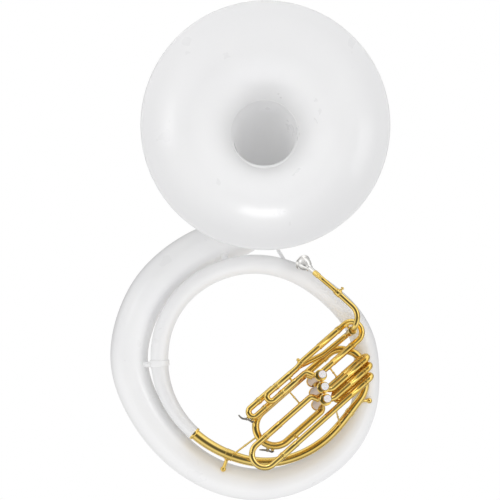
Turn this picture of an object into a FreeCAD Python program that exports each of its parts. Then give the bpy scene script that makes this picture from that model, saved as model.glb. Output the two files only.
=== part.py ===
import FreeCAD, Part
import math
import os

# Sousaphone. Units: mm. X to the player's left seen from the front, Y away from the bell mouth, Z up.
# Origin: centre of the coil that rests round the player.

os.makedirs("parts", exist_ok=True)
Vector = FreeCAD.Vector

# ---------------------------------------------------------------- driving sizes
# Bell
BELL_RIM_RADIUS = 330.0
BELL_AXIS_X = 18.0
BELL_AXIS_Z = 655.0
BELL_RIM_Y = -300.0
BELL_FLARE_LENGTH = 292.0
FLARE_SOFTNESS = 80.0
FLARE_POWER = 0.8
SHELL_WALL = 3.0
RIM_BEAD_RADIUS = 4.0
RIM_BEAD_MAJOR_RADIUS = 327.5
RIM_BEAD_SETBACK = 4.5
ELBOW_RADIUS = 112.0
TENON_AXIS_Y = 104.0
BRANCH_TOP_Z = 500.0
BRANCH_TOP_RADIUS = 68.0
TENON_RADIUS = 66.0
TENON_TOP_Z = 536.0
COLLAR_RADIUS = 72.0
BELL_SCREW_Z = 518.0
BELL_SCREW_ANGLES = [30.0, 150.0, 270.0]
BELL_SCREW_RADIUS = 3.0
BELL_SCREW_SLACK = 3.6
RUNNING_GAP = 0.05

# Coil stations: turn from the +X side (clockwise seen from the front), centre-line radius, depth, diameter
BRASS_STATIONS = [
    (28, 296, -20, 24.0),
    (45, 290, -19, 25.0),
    (65, 287, -18, 26.0),
    (85, 283, -17, 27.5),
    (108, 273, -14, 29.0),
    (132, 271, -8, 31.0),
]
INNER_STATIONS = [
    (132, 271, -8, 37.0),
    (148, 274, -5, 42.0),
    (164, 278, -2, 46.0),
    (180, 282, 0, 50.0),
]
OUTER_STATIONS = [
    (180, 282, 0, 50.0),
    (203, 288, 2, 52.0),
    (225, 289, 3, 53.0),
    (248, 286, 4, 54.0),
    (270, 283, 5, 55.0),
    (292, 279, 8, 57.0),
    (312, 281, 13, 61.0),
    (330, 294, 20, 66.0),
    (347, 308, 27, 69.0),
    (364, 315, 31, 72.0),
    (382, 330, 33, 75.0),
    (402, 345, 36, 79.0),
    (425, 351, 40, 84.0),
    (450, 355, 42, 90.0),
    (475, 350, 44, 95.0),
    (500, 348, 46, 100.0),
    (520, 357, 47, 104.0),
    (540, 373, 49, 108.0),
    (558, 374, 54, 112.0),
    (575, 373, 62, 116.0),
    (592, 367, 74, 120.0),
]
# Neck of the outer branch, from the coil up to the bell socket: centre x, y, z, diameter
RISER_STATIONS = [
    (-150, 86, 331, 124.0),
    (-92, 93, 353, 127.0),
    (-36, 99, 384, 130.0),
    (4, 103, 433, 134.0),
    (18, 104, 490, 136.0),
    (18, 104, BRANCH_TOP_Z, 136.0),
]

# Valve block frame
VALVE_CENTRE = Vector(174.5, -102.7, -64.7)
VALVE_AXIS = Vector(0.1255, -0.9696, 0.2099)
SLIDE_AXIS = Vector(0.7457, 0.2317, 0.6248)
VALVE_STEP_ALONG = 17.2
VALVE_STEP_ACROSS = 29.5
CASING_RADIUS = 15.0
CASING_BORE = 13.6
CASING_TOP = 42.0
CASING_BOTTOM = -104.0
PISTON_TOP = 25.0
PISTON_BOTTOM = -72.0
PISTON_STROKE = 16.5
CAP_THICKNESS = 4.0
FELT_THICKNESS = 2.5
STEM_RADIUS = 3.0
BUTTON_RADIUS = 11.6
PEARL_RADIUS = 10.4
BUTTON_THICKNESS = 4.0

# Valve tubing
TUBE_RADIUS = 8.5
TUBE_WALL = 0.8
SLIDE_LEG_RADIUS = 8.0
SLEEVE_RADIUS = 9.3
SLEEVE_RING_RADIUS = 10.4
FERRULE_RADIUS = 9.8
FERRULE_LENGTH = 6.0
SLIDE_GAP = 1.0
KNUCKLE_BEND = 13.0
LEADPIPE_LEVEL = -32.0
EXIT_LEVEL = -58.0
UPPER_CROSSOVER_LEVEL = -48.0
LOWER_CROSSOVER_LEVEL = -40.0
EXIT_RADIUS = 10.5
EXIT_LOWER_ACROSS = -48.5
EXIT_UPPER_ACROSS = 58.5
EXIT_END = 80.0
BOW_PIPE_RADIUS = 11.0
RECEIVER_ALONG = 169.5
RECEIVER_ACROSS = 65.0

# Slides: (far leg across, level), (near leg across, level), sleeve start, sleeve end, bow centre along
MAIN_SLIDE = ((89.0, -32.0), (61.5, -32.0), -95.0, -150.0, -180.0)
FIRST_LOWER_SLIDE = ((87.5, 0.0), (62.4, 0.0), -35.0, -92.0, -119.5)
FIRST_UPPER_SLIDE = ((92.2, 0.0), (33.5, 0.0), 75.0, 150.0, 175.5)
SECOND_SLIDE = ((-11.6, -14.0), (-21.0, 8.0), 80.0, 134.0, 150.0)
THIRD_LOWER_SLIDE = ((2.6, 0.0), (-68.0, 0.0), -150.0, -205.0, -239.0)
THIRD_MIDDLE_SLIDE = ((-34.4, -14.0), (-43.5, 8.0), 70.0, 124.0, 140.2)
THIRD_UPPER_SLIDE = ((-58.5, -22.0), (-68.0, 0.0), 55.0, 109.0, 124.3)
ALL_SLIDES = [
    MAIN_SLIDE,
    FIRST_LOWER_SLIDE,
    FIRST_UPPER_SLIDE,
    SECOND_SLIDE,
    THIRD_LOWER_SLIDE,
    THIRD_MIDDLE_SLIDE,
    THIRD_UPPER_SLIDE,
]
SLIDE_INSERT = 48.0

# Corners of the valve tubing: along, across, level
SECOND_NEAR_CORNER = (22.0, -21.0, 8.0)
SECOND_FAR_CORNER = (20.0, -11.6, -14.0)
THIRD_OUT_CORNER = (-34.0, 2.6, 0.0)
THIRD_BACK_CORNER = (12.0, -43.5, 8.0)
THIRD_TURN_ALONG = 17.0
FIRST_JOG_START = -12.0
FIRST_JOG_END = 14.0
EXIT_CORNER_ALONG = -21.0

# Water keys
PIN_RADIUS = 1.4
LEVER_RADIUS = 2.2

# Neck, bit and mouthpiece
NECK_RADIUS = 8.0
NECK_BORE = 7.05
BIT_RADIUS = 7.0
BIT_BORE = 5.8
SHANK_RADIUS = 6.6
CUP_RADIUS = 23.5
MOUTHPIECE_RIM = Vector(125, -38, 290)
MOUTHPIECE_AXIS = Vector(0.496, -0.748, -0.439)
SHANK_START = 68.0
SHANK_END = 88.0
NECK_UPPER_END = Vector(217, -113, 209)
NECK_CORNER = Vector(281, -125, 150)


# ---------------------------------------------------------------- helpers
def unit(vector):
    out = Vector(vector)
    out.normalize()
    return out


VALVE_AXIS = unit(VALVE_AXIS)
SLIDE_AXIS = unit(SLIDE_AXIS - VALVE_AXIS * SLIDE_AXIS.dot(VALVE_AXIS))
ACROSS_AXIS = VALVE_AXIS.cross(SLIDE_AXIS)
MOUTHPIECE_AXIS = unit(MOUTHPIECE_AXIS)


def at(along, across, level):
    """A point of the valve block: along the slides, across them, and towards the finger buttons."""
    return VALVE_CENTRE + SLIDE_AXIS * along + ACROSS_AXIS * across + VALVE_AXIS * level


def ring_point(turn, radius, depth):
    angle = math.radians(turn)
    return Vector(radius * math.cos(angle), depth, -radius * math.sin(angle))


def rounded_path(points, bends):
    """Straight runs joined by tangent arcs, one bend radius for each inner corner."""
    edges = []
    start = points[0]
    for corner, before, after, bend in zip(points[1:-1], points, points[2:], bends):
        back = unit(before - corner)
        ahead = unit(after - corner)
        half = back.getAngle(ahead) / 2
        reach = bend / math.tan(half)
        arc_start = corner + back * reach
        arc_end = corner + ahead * reach
        arc_middle = corner + unit(back + ahead) * (bend / math.sin(half) - bend)
        edges.append(Part.makeLine(start, arc_start))
        edges.append(Part.Arc(arc_start, arc_middle, arc_end).toShape())
        start = arc_end
    edges.append(Part.makeLine(start, points[-1]))
    return Part.Wire(edges)


def bent_rod(points, bends, radius):
    path = rounded_path(points, bends)
    profile = Part.Wire(Part.makeCircle(radius, points[0], points[1] - points[0]))
    return path.makePipeShell([profile], True, False)


def bent_tube(points, bends, radius, bore):
    return bent_rod(points, bends, radius).cut(bent_rod(points, bends, bore))


def rod(start, end, radius):
    return Part.makeCylinder(radius, (end - start).Length, start, end - start)


def pipe(start, end, radius, bore):
    return rod(start, end, radius).cut(rod(start, end, bore))


def placed_circle(centre, direction, radius):
    """A circle whose seam always starts on the same side, so that lofts don't twist."""
    side = Vector(0, 1, 0)
    if abs(direction.y) > 0.7:
        side = Vector(1, 0, 0)
    normal = unit(direction)
    side = unit(side - normal * side.dot(normal))
    turn = FreeCAD.Rotation(side, normal.cross(side), normal, "ZXY")
    circle = Part.Wire(Part.makeCircle(radius))
    circle.Placement = FreeCAD.Placement(centre, turn)
    return circle


def station_points(stations):
    return [ring_point(turn, radius, depth) for turn, radius, depth, diameter in stations]


def coil_spine():
    """The centre line of the whole coil, from the brass branch to the bell socket."""
    points = station_points(BRASS_STATIONS + INNER_STATIONS[1:] + OUTER_STATIONS[1:])
    points += [Vector(x, y, z) for x, y, z, diameter in RISER_STATIONS]
    spine = Part.BSplineCurve()
    spine.interpolate(points)
    return spine


COIL_SPINE = coil_spine()


def coil_direction(point):
    return COIL_SPINE.tangent(COIL_SPINE.parameter(point))[0]


def coil_loft(points, radii):
    sections = [placed_circle(point, coil_direction(point), radius) for point, radius in zip(points, radii)]
    return Part.makeLoft(sections, True, False)


def revolved(profile, origin, axis):
    """Turn a closed outline of (distance along the axis, radius) pairs into a solid of revolution."""
    corners = [Vector(radius, 0, along) for along, radius in profile]
    face = Part.Face(Part.makePolygon(corners + corners[:1]))
    solid = face.revolve(Vector(0, 0, 0), Vector(0, 0, 1), 360)
    solid.Placement = FreeCAD.Placement(origin, FreeCAD.Rotation(Vector(0, 0, 1), axis))
    return solid


def stay(start, end, radius, flange_radius, start_surface, end_surface, tubes):
    """A round stay between two tube centres with a pad on each tube, trimmed to the tubes."""
    direction = unit(end - start)
    pad = 2.5
    body = rod(start, end, radius)
    body = body.fuse(rod(start, start + direction * (start_surface + pad), flange_radius))
    body = body.fuse(rod(end - direction * (end_surface + pad), end, flange_radius))
    for tube in tubes:
        body = body.cut(tube)
    # Only the part between the two tubes is kept
    middle = (start + direction * start_surface + end - direction * end_surface) * 0.5
    return min(body.Solids, key=lambda solid: solid.distToShape(Part.Vertex(middle))[0])


def lug(root, knob, tube_centre, tube_surface, tubes):
    """A knob on the big branch with an arm to a brass tube, trimmed to both."""
    towards = unit(knob - tube_centre)
    body = rod(root, knob, 6.5).fuse(Part.makeSphere(8.0, knob))
    body = body.fuse(rod(tube_centre, knob, 3.5))
    body = body.fuse(rod(tube_centre, tube_centre + towards * (tube_surface + 2.5), 6.5))
    for tube in tubes:
        body = body.cut(tube)
    # Only the part outside the two tubes is kept
    return min(body.Solids, key=lambda solid: solid.distToShape(Part.Vertex(knob))[0])


def save(shape, name):
    shape.exportStep("parts/" + name + ".step")


# ---------------------------------------------------------------- bell
def flare_radius(depth):
    return BELL_RIM_RADIUS * (FLARE_SOFTNESS / (FLARE_SOFTNESS + depth)) ** FLARE_POWER


def bell_flare():
    depths = [0, 8, 20, 40, 70, 110, 160, 220, BELL_FLARE_LENGTH]
    inner = [Vector(flare_radius(depth), BELL_RIM_Y + depth, 0) for depth in depths]
    outer = []
    for depth in depths:
        slope = -FLARE_POWER * flare_radius(depth) / (FLARE_SOFTNESS + depth)
        length = math.hypot(1, slope)
        shift = Vector(1 / length, -slope / length, 0) * SHELL_WALL
        if depth == BELL_FLARE_LENGTH:
            shift = Vector(SHELL_WALL, 0, 0)
        outer.append(Vector(flare_radius(depth), BELL_RIM_Y + depth, 0) + shift)
    inner_curve = Part.BSplineCurve()
    inner_curve.interpolate(inner)
    outer_curve = Part.BSplineCurve()
    outer_curve.interpolate(outer)
    outline = [
        inner_curve.toShape(),
        Part.makeLine(inner[-1], outer[-1]),
        outer_curve.toShape(),
        Part.makeLine(outer[0], inner[0]),
    ]
    flare = Part.Face(Part.Wire(Part.__sortEdges__(outline))).revolve(Vector(0, 0, 0), Vector(0, 1, 0), 360)
    flare.translate(Vector(BELL_AXIS_X, 0, BELL_AXIS_Z))
    return flare


def bell_rim(flare):
    """The bead behind the lip of the bell, ten-sided in section."""
    outline = []
    for corner in range(10):
        turn = math.radians(36.0 * corner)
        along = BELL_RIM_Y + RIM_BEAD_SETBACK + RIM_BEAD_RADIUS * math.cos(turn)
        outline.append((along, RIM_BEAD_MAJOR_RADIUS + RIM_BEAD_RADIUS * math.sin(turn)))
    bead = revolved(outline, Vector(BELL_AXIS_X, 0, BELL_AXIS_Z), Vector(0, 1, 0))
    # The flare cuts off a thin sliver outside its lip, which is dropped
    return max(bead.cut(flare).Solids, key=lambda solid: solid.Volume)


def elbow_solid(shrink):
    start_radius = BRANCH_TOP_RADIUS + 2.0
    end_radius = flare_radius(BELL_FLARE_LENGTH) + SHELL_WALL
    start_z = BELL_AXIS_Z - ELBOW_RADIUS
    flare_end_y = TENON_AXIS_Y - ELBOW_RADIUS
    sections = []
    steps = 8
    for step in range(steps + 1):
        share = step / steps
        angle = share * math.pi / 2
        centre = Vector(
            BELL_AXIS_X,
            flare_end_y + ELBOW_RADIUS * math.cos(angle),
            start_z + ELBOW_RADIUS * math.sin(angle),
        )
        direction = Vector(0, -math.sin(angle), math.cos(angle))
        radius = start_radius + (end_radius - start_radius) * share * share * (3 - 2 * share) - shrink
        circle = Part.Wire(Part.makeCircle(radius))
        turn = FreeCAD.Rotation(Vector(1, 0, 0), direction.cross(Vector(1, 0, 0)), direction, "ZXY")
        circle.Placement = FreeCAD.Placement(centre, turn)
        sections.append(circle)
    bend = Part.makeLoft(sections, True, False)
    foot = Part.makeCylinder(start_radius - shrink, start_z - TENON_TOP_Z - 4.0,
                             Vector(BELL_AXIS_X, TENON_AXIS_Y, TENON_TOP_Z + 4.0))
    return bend.fuse(foot)


def bell_elbow():
    return elbow_solid(0).cut(elbow_solid(SHELL_WALL))


def bell_tenon():
    bore = TENON_RADIUS - 1.6
    inside = BRANCH_TOP_RADIUS + 2.0 - SHELL_WALL
    shoulder = TENON_TOP_Z + 4.0
    profile = [
        (BRANCH_TOP_Z + 3.0, bore),
        (BRANCH_TOP_Z + 3.0, TENON_RADIUS),
        (TENON_TOP_Z, TENON_RADIUS),
        (TENON_TOP_Z, COLLAR_RADIUS),
        (shoulder, COLLAR_RADIUS),
        (shoulder, inside),
        (BELL_AXIS_Z - ELBOW_RADIUS, inside),
        (BELL_AXIS_Z - ELBOW_RADIUS, bore),
    ]
    return revolved(profile, Vector(BELL_AXIS_X, TENON_AXIS_Y, 0), Vector(0, 0, 1))


def radial(angle, distance, height):
    turn = math.radians(angle)
    return Vector(
        BELL_AXIS_X + distance * math.cos(turn),
        TENON_AXIS_Y + distance * math.sin(turn),
        height,
    )


def bell_collar(branch_solid):
    skirt_bore = BRANCH_TOP_RADIUS + 0.3
    collar_bore = TENON_RADIUS + RUNNING_GAP
    collar_top = TENON_TOP_Z - 0.2
    profile = [
        (BRANCH_TOP_Z - 10.0, skirt_bore),
        (BRANCH_TOP_Z - 10.0, COLLAR_RADIUS - 1.5),
        (BRANCH_TOP_Z, COLLAR_RADIUS),
        (collar_top, COLLAR_RADIUS),
        (collar_top, collar_bore),
        (BRANCH_TOP_Z + 0.4, collar_bore),
        (BRANCH_TOP_Z + 0.4, skirt_bore),
    ]
    collar = revolved(profile, Vector(BELL_AXIS_X, TENON_AXIS_Y, 0), Vector(0, 0, 1))
    for angle in BELL_SCREW_ANGLES:
        boss = rod(radial(angle, 69.0, BELL_SCREW_Z), radial(angle, 79.0, BELL_SCREW_Z), 7.0)
        collar = collar.fuse(boss)
    for angle in BELL_SCREW_ANGLES:
        ends = (radial(angle, 60.0, BELL_SCREW_Z), radial(angle, 82.0, BELL_SCREW_Z))
        collar = collar.cut(rod(*ends, BELL_SCREW_RADIUS + RUNNING_GAP))
    return collar.cut(branch_solid)


def thumb_screw(tip, direction, shank_radius, shank_length, knob_radius, knob_length):
    """A screw with a scalloped thumb knob and a small end button."""
    axis = unit(direction)
    knob_start = tip + axis * shank_length
    knob = rod(knob_start, knob_start + axis * knob_length, knob_radius)
    side = unit(axis.cross(Vector(0.3, 0.5, 0.81)))
    lobes = 8
    for lobe in range(lobes):
        arm = FreeCAD.Rotation(axis, 360.0 * lobe / lobes).multVec(side)
        centre = knob_start + arm * (knob_radius * 1.12) - axis
        knob = knob.cut(rod(centre, centre + axis * (knob_length + 2.0), knob_radius * 0.26))
    button_start = knob_start + axis * knob_length
    button = rod(button_start, button_start + axis * 1.5, knob_radius * 0.5)
    return rod(tip, knob_start, shank_radius).fuse(knob).fuse(button)


def bell_screw(angle):
    """A clamp screw, backed off from the tenon so that the bell can turn."""
    tip = radial(angle, TENON_RADIUS + BELL_SCREW_SLACK, BELL_SCREW_Z)
    outward = radial(angle, 100.0, BELL_SCREW_Z) - tip
    return thumb_screw(tip, outward, BELL_SCREW_RADIUS, 14.0, 9.0, 6.0)


# ---------------------------------------------------------------- coil
def outer_branch_solid(shrink):
    points = station_points(OUTER_STATIONS) + [Vector(x, y, z) for x, y, z, diameter in RISER_STATIONS]
    radii = [row[3] / 2 - shrink for row in OUTER_STATIONS + RISER_STATIONS]
    return coil_loft(points, radii)


def ring_solid(stations, shrink):
    return coil_loft(station_points(stations), [row[3] / 2 - shrink for row in stations])


def band_on_joint(centre, band_radius, half_width, tube_before, tube_after):
    """A sleeve over the joint between two tubes that meet at a point of the coil."""
    along = coil_direction(centre)
    before = rod(centre - along * half_width, centre, band_radius).cut(tube_before)
    after = rod(centre, centre + along * half_width, band_radius).cut(tube_after)
    return before.fuse(after)


# ---------------------------------------------------------------- valve block tubing
def valve_point(number, level):
    """Valve 1 is the upper one, nearest the player's first finger."""
    steps = 2 - number
    return at(VALVE_STEP_ALONG * steps, VALVE_STEP_ACROSS * steps, level)


def mouth_solids():
    """Bores that run from each valve's centre into the tubes that join it."""
    ends = {
        1: [
            (LEADPIPE_LEVEL, at(0, MAIN_SLIDE[1][0], LEADPIPE_LEVEL)),
            (0.0, at(0, FIRST_LOWER_SLIDE[1][0], 0)),
            (UPPER_CROSSOVER_LEVEL, valve_point(2, UPPER_CROSSOVER_LEVEL)),
        ],
        2: [
            (8.0, at(*SECOND_NEAR_CORNER)),
            (-14.0, at(*SECOND_FAR_CORNER)),
            (UPPER_CROSSOVER_LEVEL, valve_point(1, UPPER_CROSSOVER_LEVEL)),
            (LOWER_CROSSOVER_LEVEL, valve_point(3, LOWER_CROSSOVER_LEVEL)),
        ],
        3: [
            (0.0, at(*THIRD_OUT_CORNER)),
            (8.0, at(*THIRD_BACK_CORNER)),
            (EXIT_LEVEL, at(EXIT_CORNER_ALONG, EXIT_LOWER_ACROSS, EXIT_LEVEL)),
            (LOWER_CROSSOVER_LEVEL, valve_point(2, LOWER_CROSSOVER_LEVEL)),
        ],
    }
    bore = TUBE_RADIUS - TUBE_WALL
    mouths = {}
    for number, rows in ends.items():
        mouths[number] = [rod(valve_point(number, level), end, bore) for level, end in rows]
    back = FIRST_UPPER_SLIDE[1][0]
    mouths[1].append(rod(at(VALVE_STEP_ALONG, back, 0), at(60.0, back, 0), bore))
    return mouths


def casing_core(number):
    return rod(valve_point(number, CASING_BOTTOM), valve_point(number, CASING_TOP), CASING_RADIUS)


def casing(number, mouths):
    shell = pipe(
        valve_point(number, CASING_BOTTOM), valve_point(number, CASING_TOP), CASING_RADIUS, CASING_BORE
    )
    for mouth in mouths:
        shell = shell.cut(mouth)
    return shell


def top_cap(number):
    thread = CASING_RADIUS + 0.02
    stem_hole = STEM_RADIUS + RUNNING_GAP
    profile = [
        (CASING_TOP - 6.0, thread),
        (CASING_TOP - 6.0, thread + 1.8),
        (CASING_TOP + 1.5, thread + 1.8),
        (CASING_TOP + CAP_THICKNESS, 9.5),
        (CASING_TOP + CAP_THICKNESS, stem_hole),
        (CASING_TOP, stem_hole),
        (CASING_TOP, thread),
    ]
    return revolved(profile, valve_point(number, 0), VALVE_AXIS)


def bottom_cap(number):
    thread = CASING_RADIUS + 0.02
    profile = [
        (CASING_BOTTOM + 6.0, thread),
        (CASING_BOTTOM + 6.0, thread + 1.5),
        (CASING_BOTTOM - 1.0, thread + 1.5),
        (CASING_BOTTOM - 4.0, 8.0),
        (CASING_BOTTOM - 7.0, 6.0),
        (CASING_BOTTOM - 7.0, 2.0),
        (CASING_BOTTOM, 2.0),
        (CASING_BOTTOM, thread),
    ]
    return revolved(profile, valve_point(number, 0), VALVE_AXIS)


def cap_felt(number):
    start = CASING_TOP + CAP_THICKNESS
    end = start + FELT_THICKNESS
    return pipe(valve_point(number, start), valve_point(number, end), 7.0, STEM_RADIUS + RUNNING_GAP)


def piston(number, mouths):
    body = rod(valve_point(number, PISTON_BOTTOM), valve_point(number, PISTON_TOP), CASING_BORE - RUNNING_GAP)
    for mouth in mouths:
        body = body.cut(mouth)
    return body


BUTTON_BOTTOM = CASING_TOP + CAP_THICKNESS + FELT_THICKNESS + PISTON_STROKE + 0.3


def finger_button(number):
    """Piston stem and the metal cup that holds the pearl."""
    top = BUTTON_BOTTOM + BUTTON_THICKNESS
    recess = BUTTON_BOTTOM + 1.5
    profile = [
        (PISTON_TOP, 0.0),
        (PISTON_TOP, STEM_RADIUS),
        (BUTTON_BOTTOM, STEM_RADIUS),
        (BUTTON_BOTTOM, BUTTON_RADIUS - 1.5),
        (BUTTON_BOTTOM + 1.5, BUTTON_RADIUS),
        (top, BUTTON_RADIUS),
        (top, PEARL_RADIUS),
        (recess, PEARL_RADIUS),
        (recess, 0.0),
    ]
    return revolved(profile, valve_point(number, 0), VALVE_AXIS)


def pearl(number):
    """A round pearl disc with a slightly domed face."""
    recess = BUTTON_BOTTOM + 1.5
    edge = BUTTON_BOTTOM + BUTTON_THICKNESS
    radius = PEARL_RADIUS - 0.02
    dome_height = 1.1
    dome_radius = (radius ** 2 + dome_height ** 2) / (2 * dome_height)
    disc = rod(valve_point(number, recess), valve_point(number, edge + dome_height + 1.0), radius)
    dome = Part.makeSphere(dome_radius, valve_point(number, edge + dome_height - dome_radius))
    return disc.common(dome)


def piston_spring(number):
    """A coil spring under the piston, wound from six-sided wire."""
    wire_radius = 0.6
    coil_radius = 9.0
    bottom = CASING_BOTTOM + wire_radius + 0.05
    length = PISTON_BOTTOM - CASING_BOTTOM - 2 * wire_radius - 0.1
    helix = Part.makeHelix(length / 7, length, coil_radius)
    corners = []
    for corner in range(7):
        turn = math.radians(60.0 * corner)
        corners.append(Vector(coil_radius + wire_radius * math.cos(turn), 0, wire_radius * math.sin(turn)))
    profile = Part.makePolygon(corners)
    coil = Part.Wire(helix).makePipeShell([profile], True, True)
    coil.Placement = FreeCAD.Placement(
        valve_point(number, bottom), FreeCAD.Rotation(Vector(0, 0, 1), VALVE_AXIS)
    )
    return coil


def block_tube(points, bends, trims):
    """A tube of the valve block through points given as (along, across, level), trimmed by casings."""
    tube = bent_tube([at(*point) for point in points], bends, TUBE_RADIUS, TUBE_RADIUS - TUBE_WALL)
    for trim in trims:
        tube = tube.cut(trim)
    return tube


def crossover(upper, lower, level):
    link = pipe(valve_point(upper, level), valve_point(lower, level), TUBE_RADIUS, TUBE_RADIUS - TUBE_WALL)
    return link.cut(casing_core(upper)).cut(casing_core(lower))


def main_return():
    across, level = MAIN_SLIDE[1]
    valve = (VALVE_STEP_ALONG, VALVE_STEP_ACROSS, level)
    points = [(MAIN_SLIDE[2], across, level), (0, across, level), valve]
    return block_tube(points, [KNUCKLE_BEND], [casing_core(1)])


def first_loop():
    near = FIRST_LOWER_SLIDE[1][0]
    low = FIRST_LOWER_SLIDE[0][0]
    high = FIRST_UPPER_SLIDE[0][0]
    back = FIRST_UPPER_SLIDE[1][0]
    out = [(FIRST_LOWER_SLIDE[2], near, 0), (0, near, 0), (VALVE_STEP_ALONG, VALVE_STEP_ACROSS, 0)]
    across = [
        (FIRST_LOWER_SLIDE[2], low, 0),
        (FIRST_JOG_START, low, 0),
        (FIRST_JOG_END, high, 0),
        (FIRST_UPPER_SLIDE[2], high, 0),
    ]
    straight = [(VALVE_STEP_ALONG, back, 0), (FIRST_UPPER_SLIDE[2], back, 0)]
    return [
        block_tube(out, [KNUCKLE_BEND], [casing_core(1)]),
        block_tube(across, [60.0, 60.0], []),
        block_tube(straight, [], [casing_core(1)]),
    ]


def second_loop():
    near = [(0, 0, 8.0), SECOND_NEAR_CORNER, (SECOND_SLIDE[2], *SECOND_SLIDE[1])]
    far = [(0, 0, -14.0), SECOND_FAR_CORNER, (SECOND_SLIDE[2], *SECOND_SLIDE[0])]
    return [block_tube(points, [20.0], [casing_core(2)]) for points in (near, far)]


def third_loop():
    valve = (-VALVE_STEP_ALONG, -VALVE_STEP_ACROSS)
    out = [(*valve, 0), THIRD_OUT_CORNER, (THIRD_LOWER_SLIDE[2], *THIRD_LOWER_SLIDE[0])]
    long_run = [(THIRD_LOWER_SLIDE[2], *THIRD_LOWER_SLIDE[1]), (THIRD_UPPER_SLIDE[2], *THIRD_UPPER_SLIDE[1])]
    turn_back = [
        (THIRD_UPPER_SLIDE[2], *THIRD_UPPER_SLIDE[0]),
        (THIRD_TURN_ALONG, *THIRD_UPPER_SLIDE[0]),
        (THIRD_TURN_ALONG, *THIRD_MIDDLE_SLIDE[0]),
        (THIRD_MIDDLE_SLIDE[2], *THIRD_MIDDLE_SLIDE[0]),
    ]
    back = [(*valve, 8.0), THIRD_BACK_CORNER, (THIRD_MIDDLE_SLIDE[2], *THIRD_MIDDLE_SLIDE[1])]
    return [
        block_tube(out, [KNUCKLE_BEND], [casing_core(3)]),
        block_tube(long_run, [], []),
        block_tube(turn_back, [12.6, 12.6], []),
        block_tube(back, [20.0], [casing_core(3)]),
    ]


def slide_sleeves(slide):
    """The two fixed outer tubes of a slide, each with a ring at its mouth."""
    start = slide[2]
    end = slide[3]
    way = math.copysign(1.0, end - start)
    bore = SLIDE_LEG_RADIUS + RUNNING_GAP
    sleeves = []
    for across, level in slide[:2]:
        sleeve = pipe(at(start, across, level), at(end, across, level), SLEEVE_RADIUS, bore)
        ring = pipe(at(end - way * 5.0, across, level), at(end, across, level), SLEEVE_RING_RADIUS, bore)
        sleeves.append(sleeve.fuse(ring))
    return sleeves


def bow_path(slide):
    """Corners and bend of the bow at the end of a slide."""
    far, near, start, end, centre = slide
    way = math.copysign(1.0, end - start)
    bend = (at(0, *far) - at(0, *near)).Length / 2 - 0.01
    bow_start = end + way * SLIDE_GAP
    reach = centre + way * bend
    corners = [at(bow_start, *far), at(reach, *far), at(reach, *near), at(bow_start, *near)]
    return corners, [bend, bend]


def slide_bow(slide):
    """A pull-out slide: two inner legs, ferrules and the bow that joins them."""
    start = slide[2]
    end = slide[3]
    way = math.copysign(1.0, end - start)
    bore = TUBE_RADIUS - TUBE_WALL
    bow = bent_tube(*bow_path(slide), TUBE_RADIUS, bore)
    ferrule_start = end + way * SLIDE_GAP
    ferrule_end = ferrule_start + way * FERRULE_LENGTH
    for across, level in slide[:2]:
        tip = at(end - way * SLIDE_INSERT, across, level)
        join = at(ferrule_end, across, level)
        bow = bow.fuse(pipe(tip, join, SLIDE_LEG_RADIUS, bore))
        bow = bow.fuse(pipe(at(ferrule_start, across, level), join, FERRULE_RADIUS, bore))
    return bow


# ---------------------------------------------------------------- pipes to and from the valves
EXIT_BEND = (EXIT_UPPER_ACROSS - EXIT_LOWER_ACROSS) / 2
EXIT_CENTRE = (-158.0, (EXIT_UPPER_ACROSS + EXIT_LOWER_ACROSS) / 2)


def exit_points():
    reach = EXIT_CENTRE[0] - EXIT_BEND
    rows = [
        (-VALVE_STEP_ALONG, -VALVE_STEP_ACROSS),
        (EXIT_CORNER_ALONG, EXIT_LOWER_ACROSS),
        (reach, EXIT_LOWER_ACROSS),
        (reach, EXIT_UPPER_ACROSS),
        (EXIT_END, EXIT_UPPER_ACROSS),
    ]
    return [at(along, across, EXIT_LEVEL) for along, across in rows]


EXIT_BENDS = [14.0, EXIT_BEND - 0.01, EXIT_BEND - 0.01]


def bow_points():
    start = at(EXIT_END, EXIT_UPPER_ACROSS, EXIT_LEVEL)
    turn, radius, depth, diameter = BRASS_STATIONS[0]
    end = ring_point(turn, radius, depth)
    return [
        start,
        start + SLIDE_AXIS * 45.0,
        Vector(288, -20, 28),
        end - coil_direction(end) * 86.0,
        end,
    ]


BOW_BENDS = [50.0, 45.0, 80.0]


def lead_points():
    level = LEADPIPE_LEVEL
    rows = [
        (RECEIVER_ALONG, RECEIVER_ACROSS, 12.0),
        (RECEIVER_ALONG, RECEIVER_ACROSS, level),
        (75.0, 68.0, level),
        (2.0, 88.0, level),
        (MAIN_SLIDE[2], MAIN_SLIDE[0][0], level),
    ]
    return [at(*row) for row in rows]


LEAD_BENDS = [16.0, 90.0, 90.0]


def receiver_point(level, offset=0.0):
    return at(RECEIVER_ALONG, RECEIVER_ACROSS + offset, level)


def receiver():
    bore = NECK_RADIUS + RUNNING_GAP
    tube = pipe(receiver_point(2.0), receiver_point(44.0), 10.5, bore)
    ring = pipe(receiver_point(38.0), receiver_point(44.0), 11.8, bore)
    boss = rod(receiver_point(31.0, 9.5), receiver_point(31.0, 14.0), 4.5)
    hole = rod(receiver_point(31.0), receiver_point(31.0, 16.0), 2.0 + RUNNING_GAP)
    body = tube.fuse(ring).fuse(boss).cut(hole)
    return body.cut(rod(receiver_point(0.0), receiver_point(46.0), bore))


def receiver_screw():
    tip = receiver_point(31.0, NECK_RADIUS + 0.2)
    return thumb_screw(tip, ACROSS_AXIS, 2.0, 9.0, 6.0, 5.0)


def neck_points():
    return [
        receiver_point(12.5),
        receiver_point(68.0),
        NECK_CORNER,
        NECK_UPPER_END,
    ]


def neck_top_axis():
    return unit(NECK_UPPER_END - NECK_CORNER)


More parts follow.
